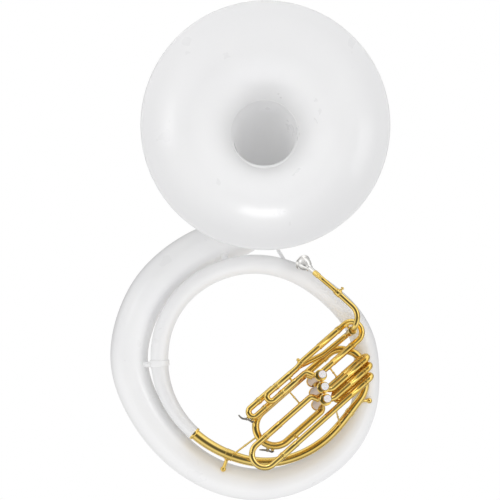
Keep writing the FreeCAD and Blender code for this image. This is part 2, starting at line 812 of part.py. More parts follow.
def neck():
    tube = bent_rod(neck_points(), [20.0, 42.0], NECK_RADIUS)
    axis = neck_top_axis()
    ring = rod(NECK_UPPER_END - axis * 15.0, NECK_UPPER_END, 10.0)
    screw_way = neck_screw_axis()
    screw_place = NECK_UPPER_END - axis * 7.5
    boss = rod(screw_place, screw_place + screw_way * 13.0, 4.5)
    hole = rod(screw_place, screw_place + screw_way * 15.0, 2.0 + RUNNING_GAP)
    return tube.fuse(ring).fuse(boss).cut(bent_rod(neck_points(), [20.0, 42.0], NECK_BORE)).cut(hole)


def neck_screw_axis():
    axis = neck_top_axis()
    return unit(axis.cross(Vector(0, 1, 0)) * -1.0)


def neck_screw():
    tip = NECK_UPPER_END - neck_top_axis() * 7.5 + neck_screw_axis() * (BIT_RADIUS + 0.2)
    return thumb_screw(tip, neck_screw_axis(), 2.0, 8.5, 6.0, 5.0)


def bit_points():
    socket_mouth = MOUTHPIECE_RIM + MOUTHPIECE_AXIS * SHANK_START
    axis = neck_top_axis()
    return [
        socket_mouth,
        socket_mouth + MOUTHPIECE_AXIS * 34.0,
        NECK_UPPER_END + axis * 10.0,
        NECK_UPPER_END - axis * 14.0,
    ]


BIT_BENDS = [20.0, 50.0]


def bit():
    points = bit_points()
    solid = bent_rod(points, BIT_BENDS, BIT_RADIUS)
    socket = rod(points[0], points[0] + MOUTHPIECE_AXIS * 21.0, 8.2)
    axis = neck_top_axis()
    stop = rod(NECK_UPPER_END + axis * 1.0, NECK_UPPER_END + axis * 4.0, 8.6)
    bore = bent_rod(points, BIT_BENDS, BIT_BORE)
    cup_bore = rod(points[0], points[0] + MOUTHPIECE_AXIS * 21.0, SHANK_RADIUS + RUNNING_GAP)
    return solid.fuse(socket).fuse(stop).cut(bore).cut(cup_bore)


def mouthpiece():
    outer = [
        (0.0, CUP_RADIUS - 3.0),
        (0.6, CUP_RADIUS - 1.2),
        (2.2, CUP_RADIUS),
        (4.6, CUP_RADIUS - 0.4),
        (6.5, CUP_RADIUS - 2.2),
        (10.0, CUP_RADIUS - 3.2),
        (20.0, CUP_RADIUS - 5.5),
        (28.0, CUP_RADIUS - 9.0),
        (35.0, 10.2),
        (41.0, 8.4),
        (SHANK_START - 1.0, 7.2),
        (SHANK_START - 1.0, SHANK_RADIUS),
        (SHANK_END, SHANK_RADIUS),
    ]
    inner = [
        (SHANK_END, 5.6),
        (50.0, 4.2),
        (38.0, 4.0),
        (32.0, 6.5),
        (24.0, 12.0),
        (14.0, 15.3),
        (4.0, 16.4),
        (1.0, 17.4),
        (0.0, 19.2),
    ]
    return revolved(outer + inner, MOUTHPIECE_RIM, MOUTHPIECE_AXIS)


# ---------------------------------------------------------------- water keys
class WaterKey:
    """A water key on the outside of a bow that lies in the plane of one level."""

    def __init__(self, centre, level, surface, bow_angle, lever):
        self.centre = centre
        self.level = level
        self.surface = surface
        self.bow_angle = bow_angle
        self.lever = lever

    def polar(self, radius, angle, lift=0.0):
        turn = math.radians(angle)
        along = self.centre[0] - radius * math.cos(turn)
        across = self.centre[1] + radius * math.sin(turn)
        return at(along, across, self.level + lift)

    def above_surface(self, low, high, radius):
        """A round piece standing on the bow at the key's angle, between two heights over its surface."""
        start = self.polar(self.surface + low, self.bow_angle)
        return rod(start, self.polar(self.surface + high, self.bow_angle), radius)

    def nipple(self):
        return self.above_surface(-2.0, 3.0, 4.0)

    def drain_hole(self):
        return self.above_surface(-12.0, 4.0, 1.6)

    def saddle(self):
        radius, angle = self.lever[1]
        ears = []
        for side in (-1, 1):
            base = self.polar(self.surface - 3.0, angle, side * 4.6 - 0.8)
            tip = self.polar(radius + 2.6, angle, side * 4.6 - 0.8)
            slab = Part.makeBox(7.0, 1.6, (tip - base).Length, Vector(-3.5, 0.0, 0.0))
            outward = unit(tip - base)
            turn = FreeCAD.Rotation(outward.cross(VALVE_AXIS) * -1.0, VALVE_AXIS, outward, "ZYX")
            slab.Placement = FreeCAD.Placement(base, turn)
            ears.append(slab)
        return ears

    def pin_solid(self, radius):
        place = self.lever[1]
        return rod(self.polar(*place, -6.4), self.polar(*place, 6.4), radius)

    def pin(self):
        return self.pin_solid(PIN_RADIUS)

    def cork(self):
        return self.above_surface(3.0, 5.2, 4.2)

    def arm(self):
        """The lever: a bent bar with the cup for the cork, the hinge barrel and the finger pad."""
        points = [self.polar(*place) for place in self.lever]
        curve = Part.BSplineCurve()
        curve.interpolate(points)
        way = curve.tangent(curve.FirstParameter)[0]
        profile = Part.Wire(Part.makeCircle(LEVER_RADIUS, points[0], way))
        bar = Part.Wire(curve.toShape()).makePipeShell([profile], True, False)
        place = self.lever[1]
        barrel = rod(self.polar(*place, -3.4), self.polar(*place, 3.4), 2.9)
        cup = self.above_surface(5.2, 7.4, 4.6)
        pad = rod(self.polar(*self.lever[-1], -4.5), self.polar(*self.lever[-1], 4.5), 2.6)
        body = bar.fuse(barrel).fuse(cup).fuse(pad)
        return body.cut(self.pin_solid(PIN_RADIUS + RUNNING_GAP)).cut(self.cork())


MAIN_KEY = WaterKey((-180.0, 75.25), -32.0, 22.2, -42.0, [(29.6, -42.0), (28.2, -6.0), (43.2, 29.0)])
EXIT_KEY = WaterKey(EXIT_CENTRE, EXIT_LEVEL, 64.0, -43.5, [(71.4, -43.5), (70.0, -31.5), (78.0, -15.0)])


def with_key(bow, key, bore_solid):
    """Solder a water key's nipple and saddle to a bow."""
    body = bow.fuse(key.nipple())
    for ear in key.saddle():
        body = body.fuse(ear)
    return body.cut(key.drain_hole()).cut(bore_solid).cut(key.pin())


# ---------------------------------------------------------------- build
def build_bell():
    flare = bell_flare()
    save(flare, "bell_flare")
    save(bell_rim(flare), "bell_rim")
    save(bell_elbow(), "bell_elbow")
    save(bell_tenon(), "bell_tenon")
    save(bell_collar(outer_branch_solid(0)), "bell_collar")
    for index, angle in enumerate(BELL_SCREW_ANGLES):
        save(bell_screw(angle), "bell_screw_" + str(index + 1))


def build_coil():
    outer_solid = outer_branch_solid(0)
    inner_solid = ring_solid(INNER_STATIONS, 0)
    brass_solid = ring_solid(BRASS_STATIONS, 0)
    bow_solid = bent_rod(bow_points(), BOW_BENDS, BOW_PIPE_RADIUS)
    exit_solid = bent_rod(exit_points(), EXIT_BENDS, EXIT_RADIUS)
    save(outer_solid.cut(outer_branch_solid(SHELL_WALL)), "outer_branch")
    save(inner_solid.cut(ring_solid(INNER_STATIONS, SHELL_WALL)), "inner_branch")
    save(brass_solid.cut(ring_solid(BRASS_STATIONS, TUBE_WALL)), "first_branch")
    save(bow_solid.cut(bent_rod(bow_points(), BOW_BENDS, BOW_PIPE_RADIUS - TUBE_WALL)), "bow_pipe")
    joint = ring_point(180, 282, 0)
    sleeve_core = rod(joint - coil_direction(joint) * 9.0, joint + coil_direction(joint) * 9.0, 28.0)
    save(band_on_joint(joint, 28.0, 9.0, inner_solid, outer_solid), "branch_sleeve")

    exit_bore = bent_rod(exit_points(), EXIT_BENDS, EXIT_RADIUS - TUBE_WALL)
    exit_pipe = with_key(exit_solid.cut(casing_core(3)), EXIT_KEY, exit_bore)
    save(exit_pipe, "exit_pipe")

    exit_end = at(EXIT_END, EXIT_UPPER_ACROSS, EXIT_LEVEL)
    exit_band = pipe(exit_end - SLIDE_AXIS * 6.0, exit_end + SLIDE_AXIS * 6.0, 12.6, 9.0)
    ferrules = [
        band_on_joint(ring_point(132, 271, -8), 19.2, 4.0, brass_solid, inner_solid),
        band_on_joint(ring_point(28, 296, -20), 13.6, 6.0, bow_solid, brass_solid),
        exit_band.cut(exit_solid).cut(bow_solid),
    ]
    save(Part.makeCompound(ferrules), "pipe_ferrules")

    upper_block = stay(ring_point(252, 286, 4), Vector(-108, 89, 347), 9.0, 12.0, 27.0, 62.0, [outer_solid])
    side_block = stay(ring_point(179, 282, 0), ring_point(539, 373, 49), 8.0, 11.0, 25.0, 54.0,
                      [outer_solid, inner_solid, sleeve_core])
    riser_rod = stay(ring_point(290, 279, 8), Vector(-2, 101, 424), 5.0, 10.0, 28.0, 66.0, [outer_solid])
    save(Part.makeCompound([upper_block, side_block, riser_rod]), "stay_blocks")

    bow_end = bow_points()[4]
    bow_side = bow_end - coil_direction(bow_end) * 41.0
    low_lug = lug(ring_point(468, 352, 44), Vector(-99.5, 2, -304), ring_point(108, 273, -14), 14.5,
                  [outer_solid, brass_solid])
    side_lug = lug(ring_point(379, 327, 33), Vector(318.2, -11, -107), bow_side, 11.0,
                   [outer_solid, bow_solid])
    ring_stay = stay(at(-208.0, 16.0, EXIT_LEVEL), ring_point(106, 274, -14), 2.6, 6.0, 10.5, 14.5,
                     [exit_solid, brass_solid])
    save(Part.makeCompound([low_lug, side_lug, ring_stay]), "ring_stays")


def build_valves():
    mouths = mouth_solids()
    for number in (1, 2, 3):
        save(casing(number, mouths[number]), "casing_" + str(number))
        save(piston(number, mouths[number]), "piston_" + str(number))
        save(finger_button(number), "finger_button_" + str(number))
        save(pearl(number), "pearl_" + str(number))
    save(Part.makeCompound([top_cap(number) for number in (1, 2, 3)]), "top_caps")
    save(Part.makeCompound([bottom_cap(number) for number in (1, 2, 3)]), "bottom_caps")
    save(Part.makeCompound([cap_felt(number) for number in (1, 2, 3)]), "cap_felts")
    save(Part.makeCompound([piston_spring(number) for number in (1, 2, 3)]), "piston_springs")
    knuckles = [crossover(1, 2, UPPER_CROSSOVER_LEVEL), crossover(2, 3, LOWER_CROSSOVER_LEVEL), main_return()]
    save(Part.makeCompound(knuckles), "valve_knuckles")


def build_tubing():
    save(Part.makeCompound(first_loop()), "first_loop")
    save(Part.makeCompound(second_loop()), "second_loop")
    save(Part.makeCompound(third_loop()), "third_loop")
    sleeves = []
    for slide in ALL_SLIDES:
        sleeves.extend(slide_sleeves(slide))
    save(Part.makeCompound(sleeves), "slide_sleeves")

    bow_bore = bent_rod(*bow_path(MAIN_SLIDE), TUBE_RADIUS - TUBE_WALL)
    save(with_key(slide_bow(MAIN_SLIDE), MAIN_KEY, bow_bore), "main_slide")
    save(slide_bow(FIRST_LOWER_SLIDE), "first_lower_slide")
    save(slide_bow(FIRST_UPPER_SLIDE), "first_upper_slide")
    save(slide_bow(SECOND_SLIDE), "second_slide")
    save(slide_bow(THIRD_LOWER_SLIDE), "third_lower_slide")
    save(slide_bow(THIRD_MIDDLE_SLIDE), "third_middle_slide")
    save(slide_bow(THIRD_UPPER_SLIDE), "third_upper_slide")

    for key, name in ((MAIN_KEY, "main"), (EXIT_KEY, "exit")):
        save(key.arm(), name + "_key_lever")
        save(key.cork(), name + "_key_cork")
        save(key.pin(), name + "_key_pin")


def block_stay(along, upper, lower, upper_radius, lower_radius, foot=4.5):
    """A stay between two tubes that run along the slides, each given as (across, level)."""
    tubes = []
    for place, radius in ((upper, upper_radius), (lower, lower_radius)):
        tubes.append(rod(at(along - 15.0, *place), at(along + 15.0, *place), radius))
    return stay(at(along, *upper), at(along, *lower), 2.4, foot, upper_radius, lower_radius, tubes)


def build_stays():
    run_across, run_level = THIRD_LOWER_SLIDE[1]
    run_solid = rod(at(-19.0, run_across, run_level), at(11.0, run_across, run_level), TUBE_RADIUS)
    brass_solid = ring_solid(BRASS_STATIONS, 0)
    stays = [
        block_stay(-46.0, *FIRST_LOWER_SLIDE[:2], SLEEVE_RADIUS, SLEEVE_RADIUS),
        block_stay(-72.0, FIRST_LOWER_SLIDE[1], THIRD_LOWER_SLIDE[0], SLEEVE_RADIUS, TUBE_RADIUS),
        block_stay(60.0, FIRST_UPPER_SLIDE[1], SECOND_SLIDE[0], TUBE_RADIUS, TUBE_RADIUS),
        block_stay(-134.0, (EXIT_LOWER_ACROSS, EXIT_LEVEL), THIRD_LOWER_SLIDE[1], EXIT_RADIUS, TUBE_RADIUS),
        stay(at(-4.0, run_across, run_level), ring_point(37, 293, -19), 2.4, 6.5, 8.5, 12.3,
             [run_solid, brass_solid]),
    ]
    save(Part.makeCompound(stays), "block_stays")


def build_mouthpipe():
    lead = bent_tube(lead_points(), LEAD_BENDS, NECK_RADIUS, NECK_BORE)
    save(lead.cut(casing_core(1)), "leadpipe")
    save(receiver(), "neck_receiver")
    save(receiver_screw(), "receiver_screw")
    save(neck(), "neck")
    save(neck_screw(), "neck_screw")
    save(bit(), "bit")
    save(mouthpiece(), "mouthpiece")


build_bell()
build_coil()
build_valves()
build_tubing()
build_stays()
build_mouthpipe()
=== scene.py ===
import math

import bpy
import numpy as np
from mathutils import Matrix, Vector


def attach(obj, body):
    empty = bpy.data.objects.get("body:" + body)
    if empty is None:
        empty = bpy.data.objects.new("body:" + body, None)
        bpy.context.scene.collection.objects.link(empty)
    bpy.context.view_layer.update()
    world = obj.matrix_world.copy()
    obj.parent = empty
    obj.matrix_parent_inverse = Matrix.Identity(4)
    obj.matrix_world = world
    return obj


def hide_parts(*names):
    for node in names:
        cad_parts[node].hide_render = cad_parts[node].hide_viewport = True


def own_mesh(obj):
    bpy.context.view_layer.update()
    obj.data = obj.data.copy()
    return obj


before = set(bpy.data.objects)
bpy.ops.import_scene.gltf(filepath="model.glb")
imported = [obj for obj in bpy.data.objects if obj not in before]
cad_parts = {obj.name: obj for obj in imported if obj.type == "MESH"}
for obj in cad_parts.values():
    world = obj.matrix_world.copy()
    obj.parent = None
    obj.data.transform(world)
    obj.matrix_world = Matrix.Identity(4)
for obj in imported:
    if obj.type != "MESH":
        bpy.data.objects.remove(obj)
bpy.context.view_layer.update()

# Sousaphone with a white glass-fibre shell and a lacquered brass valve block.
# Lengths below are millimetres in the row frame; meshes are scaled to metres when they are made.
MM = 0.001


# ------------ vectors and the valve block frame
def vec(x, y, z):
    return np.array([x, y, z], float)


def unit(v):
    v = np.asarray(v, float)
    return v / np.linalg.norm(v)


UP = vec(0, 0, 1)
BELL_X, BELL_Z, RIM_Y = 18.0, 655.0, -300.0
SHELL_WALL = 3.0
VALVE_CENTRE = vec(174.5, -102.7, -64.7)
VALVE_AXIS = unit([0.1255, -0.9696, 0.2099])
SLIDE_AXIS = vec(0.7457, 0.2317, 0.6248)
SLIDE_AXIS = unit(SLIDE_AXIS - VALVE_AXIS * SLIDE_AXIS.dot(VALVE_AXIS))
ACROSS_AXIS = np.cross(VALVE_AXIS, SLIDE_AXIS)


def at(along, across, level):
    return VALVE_CENTRE + SLIDE_AXIS * along + ACROSS_AXIS * across + VALVE_AXIS * level


def ring_point(turn, radius, depth):
    angle = math.radians(turn)
    return vec(radius * math.cos(angle), depth, -radius * math.sin(angle))


def side_of(axis):
    """Some direction square to the axis."""
    rough = vec(0, 1, 0) if abs(axis[1]) < 0.7 else vec(1, 0, 0)
    return unit(rough - axis * rough.dot(axis))


# ------------ mesh building
def rings_mesh(rings, cap_start=True, cap_end=True):
    """A skin over closed rings of equal size, with flat caps where asked."""
    rings = np.asarray(rings, float)
    count, sides = rings.shape[:2]
    index = np.arange(count * sides).reshape(count, sides)
    ahead = np.roll(index, -1, axis=1)
    quads = np.stack([index[:-1], ahead[:-1], ahead[1:], index[1:]], axis=-1).reshape(-1, 4)
    faces = quads.tolist()
    if cap_start:
        faces.append(index[0][::-1].tolist())
    if cap_end:
        faces.append(index[-1].tolist())
    return rings.reshape(-1, 3), faces


def joined(parts):
    verts, faces, shift = [], [], 0
    for part_verts, part_faces in parts:
        verts.append(part_verts)
        faces += [[i + shift for i in face] for face in part_faces]
        shift += len(part_verts)
    return np.concatenate(verts), faces


def piece(name, shape, material, body, *nodes, sharp=32):
    """Make a mesh object in metres, let it ride on its body and stand for CAD nodes."""
    verts, faces = shape
    mesh = bpy.data.meshes.new(name)
    mesh.from_pydata((verts * MM).tolist(), [], faces)
    mesh.validate()
    mesh.shade_smooth()
    mesh.set_sharp_from_angle(angle=math.radians(sharp))
    mesh.materials.append(material)
    obj = bpy.data.objects.new(name, mesh)
    bpy.context.scene.collection.objects.link(obj)
    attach(obj, body)
    if nodes:
        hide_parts(*nodes)
    return obj


# ------------ paths and sweeps
def rounded_path(points, bends):
    """Straight runs joined by tangent arcs, sampled every few degrees."""
    out = [np.asarray(points[0], float)]
    for corner, before, after, bend in zip(points[1:-1], points, points[2:], bends):
        back = unit(before - corner)
        ahead = unit(after - corner)
        half = math.acos(float(np.clip(back.dot(ahead), -1, 1))) / 2
        reach = bend / math.tan(half)
        centre = corner + unit(back + ahead) * bend / math.sin(half)
        arm = (corner + back * reach - centre) / bend
        turn = math.pi - 2 * half
        lead = unit(-back - arm * arm.dot(-back))
        steps = max(3, int(math.degrees(turn) / 4))
        for step in range(steps + 1):
            angle = turn * step / steps
            out.append(centre + bend * (arm * math.cos(angle) + lead * math.sin(angle)))
    out.append(np.asarray(points[-1], float))
    return np.array(out)


def spline_through(points, spacing):
    """A natural cubic curve through points, by chord length, and its sample parameters."""
    points = np.asarray(points, float)
    knots = np.concatenate([[0], np.cumsum(np.linalg.norm(np.diff(points[:, :3], axis=0), axis=1))])
    gap = np.diff(knots)
    count = len(points)
    matrix = np.zeros((count, count))
    right = np.zeros_like(points)
    matrix[0, 0] = matrix[-1, -1] = 1
    for i in range(1, count - 1):
        matrix[i, i - 1 : i + 2] = gap[i - 1], 2 * (gap[i - 1] + gap[i]), gap[i]
        ahead, behind = points[i + 1] - points[i], points[i] - points[i - 1]
        right[i] = 6 * (ahead / gap[i] - behind / gap[i - 1])
    bend = np.linalg.solve(matrix, right)
    samples = np.linspace(0, knots[-1], max(3, int(knots[-1] / spacing)))
    i = np.clip(np.searchsorted(knots, samples, side="right") - 1, 0, count - 2)
    h = gap[i][:, None]
    a = ((knots[i + 1] - samples) / gap[i])[:, None]
    b = 1 - a
    curve = a * points[i] + b * points[i + 1]
    curve = curve + ((a ** 3 - a) * bend[i] + (b ** 3 - b) * bend[i + 1]) * h * h / 6
    return curve, samples, knots


class Path:
    """A polyline with a frame that doesn't twist."""

    def __init__(self, points, side=None):
        points = np.asarray(points, float)
        keep = np.concatenate([[True], np.linalg.norm(np.diff(points, axis=0), axis=1) > 1e-6])
        self.points = points[keep]
        steps = np.diff(self.points, axis=0)
        lengths = np.linalg.norm(steps, axis=1)
        self.s = np.concatenate([[0], np.cumsum(lengths)])
        self.length = self.s[-1]
        ways = steps / lengths[:, None]
        tangents = np.concatenate([ways[:1], ways[:-1] + ways[1:], ways[-1:]])
        self.tangents = tangents / np.linalg.norm(tangents, axis=1)[:, None]
        normal = side_of(self.tangents[0]) if side is None else side
        normals = []
        for tangent in self.tangents:
            normal = unit(normal - tangent * normal.dot(tangent))
            normals.append(normal)
        self.normals = np.array(normals)

    def place(self, s):
        inside = min(max(s, 0.0), self.length)
        point = np.array([np.interp(inside, self.s, self.points[:, k]) for k in range(3)])
        tangent = unit([np.interp(inside, self.s, self.tangents[:, k]) for k in range(3)])
        normal = np.array([np.interp(inside, self.s, self.normals[:, k]) for k in range(3)])
        normal = unit(normal - tangent * normal.dot(tangent))
        return point + tangent * (s - inside), tangent, normal

    def between(self, profile):
        """Profile rows (distance, radius), with the path's own samples added between them."""
        rows = [profile[0]]
        for (s0, r0), (s1, r1) in zip(profile, profile[1:]):
            for s in self.s[(self.s > s0 + 0.05) & (self.s < s1 - 0.05)]:
                rows.append((s, r0 + (r1 - r0) * (s - s0) / (s1 - s0)))
            rows.append((s1, r1))
        return rows


def ring_at(centre, axis, side, radius, sides, shape=None):
    angles = np.arange(sides) * 2 * math.pi / sides
    up = np.cross(axis, side)
    reach = np.full(sides, radius) if shape is None else radius * shape(angles)
    return centre + np.outer(reach * np.cos(angles), side) + np.outer(reach * np.sin(angles), up)


def sweep(path, profile, sides=32, caps=(True, True), start_on=None, end_on=None):
    """Round rings along a path; start_on and end_on are cylinders that an end is cut to."""
    rings = []
    rows = path.between(profile)
    for s, radius in rows:
        point, tangent, normal = path.place(s)
        rings.append(ring_at(point, tangent, normal, radius, sides))
    if start_on is not None:
        rings[0] = onto_cylinder(rings[0], path.place(rows[0][0])[1], *start_on)
    if end_on is not None:
        rings[-1] = onto_cylinder(rings[-1], path.place(rows[-1][0])[1], *end_on)
    return rings_mesh(rings, *caps)


def onto_cylinder(ring, way, point, axis, radius):
    """Slide the ring's points along a direction until they lie on a cylinder."""
    out = []
    for place in ring:
        gap = (place - point) - axis * (place - point).dot(axis)
        flat = way - axis * way.dot(axis)
        a, b, c = flat.dot(flat), 2 * gap.dot(flat), gap.dot(gap) - radius ** 2
        root = math.sqrt(max(b * b - 4 * a * c, 0.0))
        moves = ((-b - root) / (2 * a), (-b + root) / (2 * a))
        out.append(place + way * min(moves, key=abs))
    return np.array(out)


def lathe(profile, origin, axis, sides=48, shape_rows=None, shape=None):
    """Turn (distance along the axis, radius) rows; rows in shape_rows take a wavy outline."""
    axis = unit(axis)
    side = side_of(axis)
    rings = []
    for row, (along, radius) in enumerate(profile):
        wavy = shape if shape_rows is not None and row in shape_rows else None
        rings.append(ring_at(origin + axis * along, axis, side, max(radius, 0.01), sides, wavy))
    return rings_mesh(rings)


def mirrored(rows, centre):
    """Rows of (distance from the centre, radius), and their mirror image."""
    return [(centre - gap, r) for gap, r in rows] + [(centre + gap, r) for gap, r in rows[::-1]]


def ball_rows(centre, radius, start, steps):
    """Profile rows over a ball, from an angle round to its far pole."""
    turns = np.linspace(start, 0.0, steps)
    return [(centre + radius * math.cos(t), radius * math.sin(t)) for t in turns]


def rod_shape(start, end, radius, sides=24, edge=0.4):
    length = float(np.linalg.norm(end - start))
    rows = [(0, radius - edge), (edge, radius), (length - edge, radius), (length, radius - edge)]
    return lathe(rows, start, end - start, sides)


def arc_rows(centre_s, centre_r, radius, start, end, steps):
    """Profile rows round an arc; angles in degrees from the axis direction."""
    turns = np.radians(np.linspace(start, end, steps))
    return [(centre_s + radius * math.cos(t), centre_r + radius * math.sin(t)) for t in turns]


# ------------ materials
class Graph:
    """Short hand for building one node material."""

    def __init__(self, name):
        self.material = bpy.data.materials.new(name)
        self.material.use_nodes = True
        self.tree = self.material.node_tree
        self.shader = self.tree.nodes["Principled BSDF"]
        self.coords = self.tree.nodes.new("ShaderNodeTexCoord").outputs["Object"]

    def link(self, value, socket):
        if isinstance(value, bpy.types.NodeSocket):
            self.tree.links.new(value, socket)
        else:
            socket.default_value = value

    def stretched(self, scale):
        node = self.tree.nodes.new("ShaderNodeMapping")
        node.inputs["Scale"].default_value = scale
        self.link(self.coords, node.inputs["Vector"])
        return node.outputs["Vector"]

    def noise(self, scale, detail=3.0, rough=0.5, warp=0.0, vector=None):
        node = self.tree.nodes.new("ShaderNodeTexNoise")
        node.inputs["Scale"].default_value = scale
        node.inputs["Detail"].default_value = detail
        node.inputs["Roughness"].default_value = rough
        node.inputs["Distortion"].default_value = warp
        self.link(self.coords if vector is None else vector, node.inputs["Vector"])
        return node.outputs["Fac"]

    def ranged(self, value, low, high, to_low=0.0, to_high=1.0):
        node = self.tree.nodes.new("ShaderNodeMapRange")
        for socket, amount in zip(node.inputs[1:5], (low, high, to_low, to_high)):
            socket.default_value = amount
        self.link(value, node.inputs[0])
        return node.outputs[0]

    def math(self, kind, one, two):
        node = self.tree.nodes.new("ShaderNodeMath")
        node.operation = kind
        self.link(one, node.inputs[0])
        self.link(two, node.inputs[1])
        return node.outputs[0]

    def mixed(self, share, one, two):
        node = self.tree.nodes.new("ShaderNodeMix")
        node.data_type = "RGBA"
        self.link(share, node.inputs[0])
        self.link(one if isinstance(one, bpy.types.NodeSocket) else (*one, 1), node.inputs[6])
        self.link(two if isinstance(two, bpy.types.NodeSocket) else (*two, 1), node.inputs[7])
        return node.outputs[2]

    def facing(self):
        """0 where the surface faces the viewer, 1 at its outline."""
        node = self.tree.nodes.new("ShaderNodeLayerWeight")
        node.inputs["Blend"].default_value = 0.5
        return node.outputs["Facing"]

    def hollow(self, reach=0.004):
        """Near 1 in tight corners; used to paint shade there."""
        node = self.tree.nodes.new("ShaderNodeAmbientOcclusion")
        node.samples = 4
        node.only_local = False
        node.inputs["Distance"].default_value = reach
        return self.math("SUBTRACT", 1.0, node.outputs["AO"])

    def bump(self, height, strength, distance=0.001, below=None):
        node = self.tree.nodes.new("ShaderNodeBump")
        node.inputs["Strength"].default_value = strength
        node.inputs["Distance"].default_value = distance
        self.link(height, node.inputs["Height"])
        if below is not None:
            self.link(below, node.inputs["Normal"])
        return node.outputs["Normal"]

    def set(self, **values):
        for name, value in values.items():
            self.link(value, self.shader.inputs[name.replace("_", " ")])
        return self.material


def white_shell(name, tone):
    """Gel-coated glass fibre; tone scales how white it is."""
    g = Graph(name)
    cloud = g.ranged(g.noise(3.5, 4.0, 0.55, 0.3), 0.35, 0.65)
    cool, warm = [tuple(level * tone for level in levels) for levels in (
        (0.92, 0.92, 0.93), (0.94, 0.94, 0.94)
    )]
    colour = g.mixed(cloud, cool, warm)
    # Painted shade: tight corners are mixed towards grey.
    corner = g.ranged(g.hollow(0.012), 0.25, 0.95, 0.0, 0.55)
    colour = g.mixed(corner, colour, (0.70, 0.69, 0.67))
    scuffs = g.ranged(g.noise(60.0, 6.0, 0.7, 1.2, g.stretched((1.0, 1.0, 9.0))), 0.64, 0.70)
    colour = g.mixed(g.math("MULTIPLY", scuffs, 0.015), colour, (0.60, 0.59, 0.57))
    rough = g.ranged(g.noise(14.0, 3.0), 0.3, 0.7, 0.27, 0.33)
    rough = g.math("ADD", rough, g.math("MULTIPLY", scuffs, 0.03))
    peel = g.bump(g.noise(170.0, 2.0, 0.4), 0.05, 0.0006)
    wave = g.bump(g.noise(9.0, 2.0, 0.4), 0.06, 0.006, below=peel)
    coat = g.bump(g.noise(11.0, 1.0, 0.3), 0.02, 0.004)
    # The bell gets a painted glow round the throat and painted shade towards the mouth.
    if name == "bell_white":
        colour = bell_light(g, colour)
    return g.set(
        Base_Color=colour, Roughness=rough, Normal=wave,
        Coat_Weight=0.55, Coat_Roughness=0.12, Coat_Normal=coat,
    )


def bell_light(g, colour):
    """Painted light on the bell: a painted glow round the throat, and painted shade (a greyer
    colour) towards the mouth.
    """
    split = g.tree.nodes.new("ShaderNodeSeparateXYZ")
    g.link(g.coords, split.inputs[0])
    sideways = g.math("SUBTRACT", split.outputs["X"], BELL_X * MM)
    upward = g.math("SUBTRACT", split.outputs["Z"], BELL_Z * MM)
    squares = g.math(
        "ADD", g.math("MULTIPLY", sideways, sideways), g.math("MULTIPLY", upward, upward)
    )
    radius = g.math("POWER", squares, 0.5)
    # Painted glow: emission strongest near the throat, fading outwards.
    g.set(
        Emission_Color=(1.0, 1.0, 0.98, 1.0),
        Emission_Strength=g.ranged(radius, 0.09, 0.21, 0.07, 0.0)
    )
    # Painted shade: the colour turns greyer towards the mouth.
    return g.mixed(g.ranged(radius, 0.13, 0.30), colour, (0.80, 0.80, 0.807))


def lacquered(name, light, deep, rough_low, rough_high, plate=False):
    """Polished metal under lacquer: slow colour drift, a painted dark reflection along the outline,
    painted shade in corners, faint handling marks.
    """
    g = Graph(name)
    drift = g.ranged(g.noise(9.0, 2.0, 0.5, 0.3), 0.35, 0.65)
    colour = g.mixed(drift, light, deep)
    # One dark colour serves real stain spots, painted shade in corners and the painted dark
    # reflection at the outline.
    stain_and_shade = (
        0.28 * deep[0], 0.22 * deep[1], 0.12 * deep[2]
    ) if not plate else tuple(0.3 * v for v in deep)
    # Painted dark reflection: the outline is mixed towards the dark colour.
    edge = g.ranged(g.facing(), 0.70, 0.95, 0.0, 0.55)
    colour = g.mixed(edge, colour, stain_and_shade)
    # Painted shade: tight corners are mixed towards the dark colour.
    corner = g.ranged(g.hollow(0.006), 0.30, 1.0, 0.0, 0.85)
    colour = g.mixed(corner, colour, stain_and_shade)
    spots = g.ranged(g.noise(150.0, 4.0, 0.6, 0.6), 0.70, 0.78)
    colour = g.mixed(g.math("MULTIPLY", spots, 0.18), colour, stain_and_shade)
    smear = g.ranged(g.noise(38.0, 4.0, 0.55, 0.8), 0.3, 0.75, rough_low, rough_high)
    rough = g.math("ADD", smear, g.math("MULTIPLY", spots, 0.10))
    lines = g.noise(420.0, 2.0, 0.5, 0.2, g.stretched((1.0, 0.08, 1.0)))
    hair = g.bump(lines, 0.02, 0.0003)
    dents = g.bump(g.noise(22.0, 1.0, 0.4), 0.015, 0.0012, below=hair)
    return g.set(
        Base_Color=colour, Metallic=1.0, Roughness=rough, Normal=dents,
        Coat_Weight=0.0 if plate else 0.1, Coat_Roughness=0.06,
    )


def pearl_face():
    g = Graph("pearl")
    swirl = g.noise(190.0, 4.0, 0.55, 3.0)
    colour = g.mixed(g.ranged(swirl, 0.35, 0.65), (0.90, 0.87, 0.84), (0.80, 0.82, 0.86))
    tint = g.mixed(g.ranged(g.noise(90.0, 2.0, 0.5, 2.0), 0.4, 0.7), colour, (0.93, 0.84, 0.84))
    rough = g.ranged(swirl, 0.3, 0.7, 0.10, 0.22)
    return g.set(
        Base_Color=tint, Roughness=rough, Coat_Weight=0.6, Coat_Roughness=0.04,
        Normal=g.bump(swirl, 0.06, 0.0004), Subsurface_Weight=0.08, Subsurface_Scale=0.002,
    )


def soft_stuff(name, light, dark, scale, strength):
    g = Graph(name)
    grain = g.noise(scale, 6.0, 0.75, 0.4)
    colour = g.mixed(g.ranged(grain, 0.35, 0.65), dark, light)
    rough = g.ranged(grain, 0.2, 0.8, 0.75, 0.95)
    return g.set(
        Base_Color=colour, Roughness=rough, Normal=g.bump(grain, strength, 0.0006), Sheen_Weight=0.3
    )


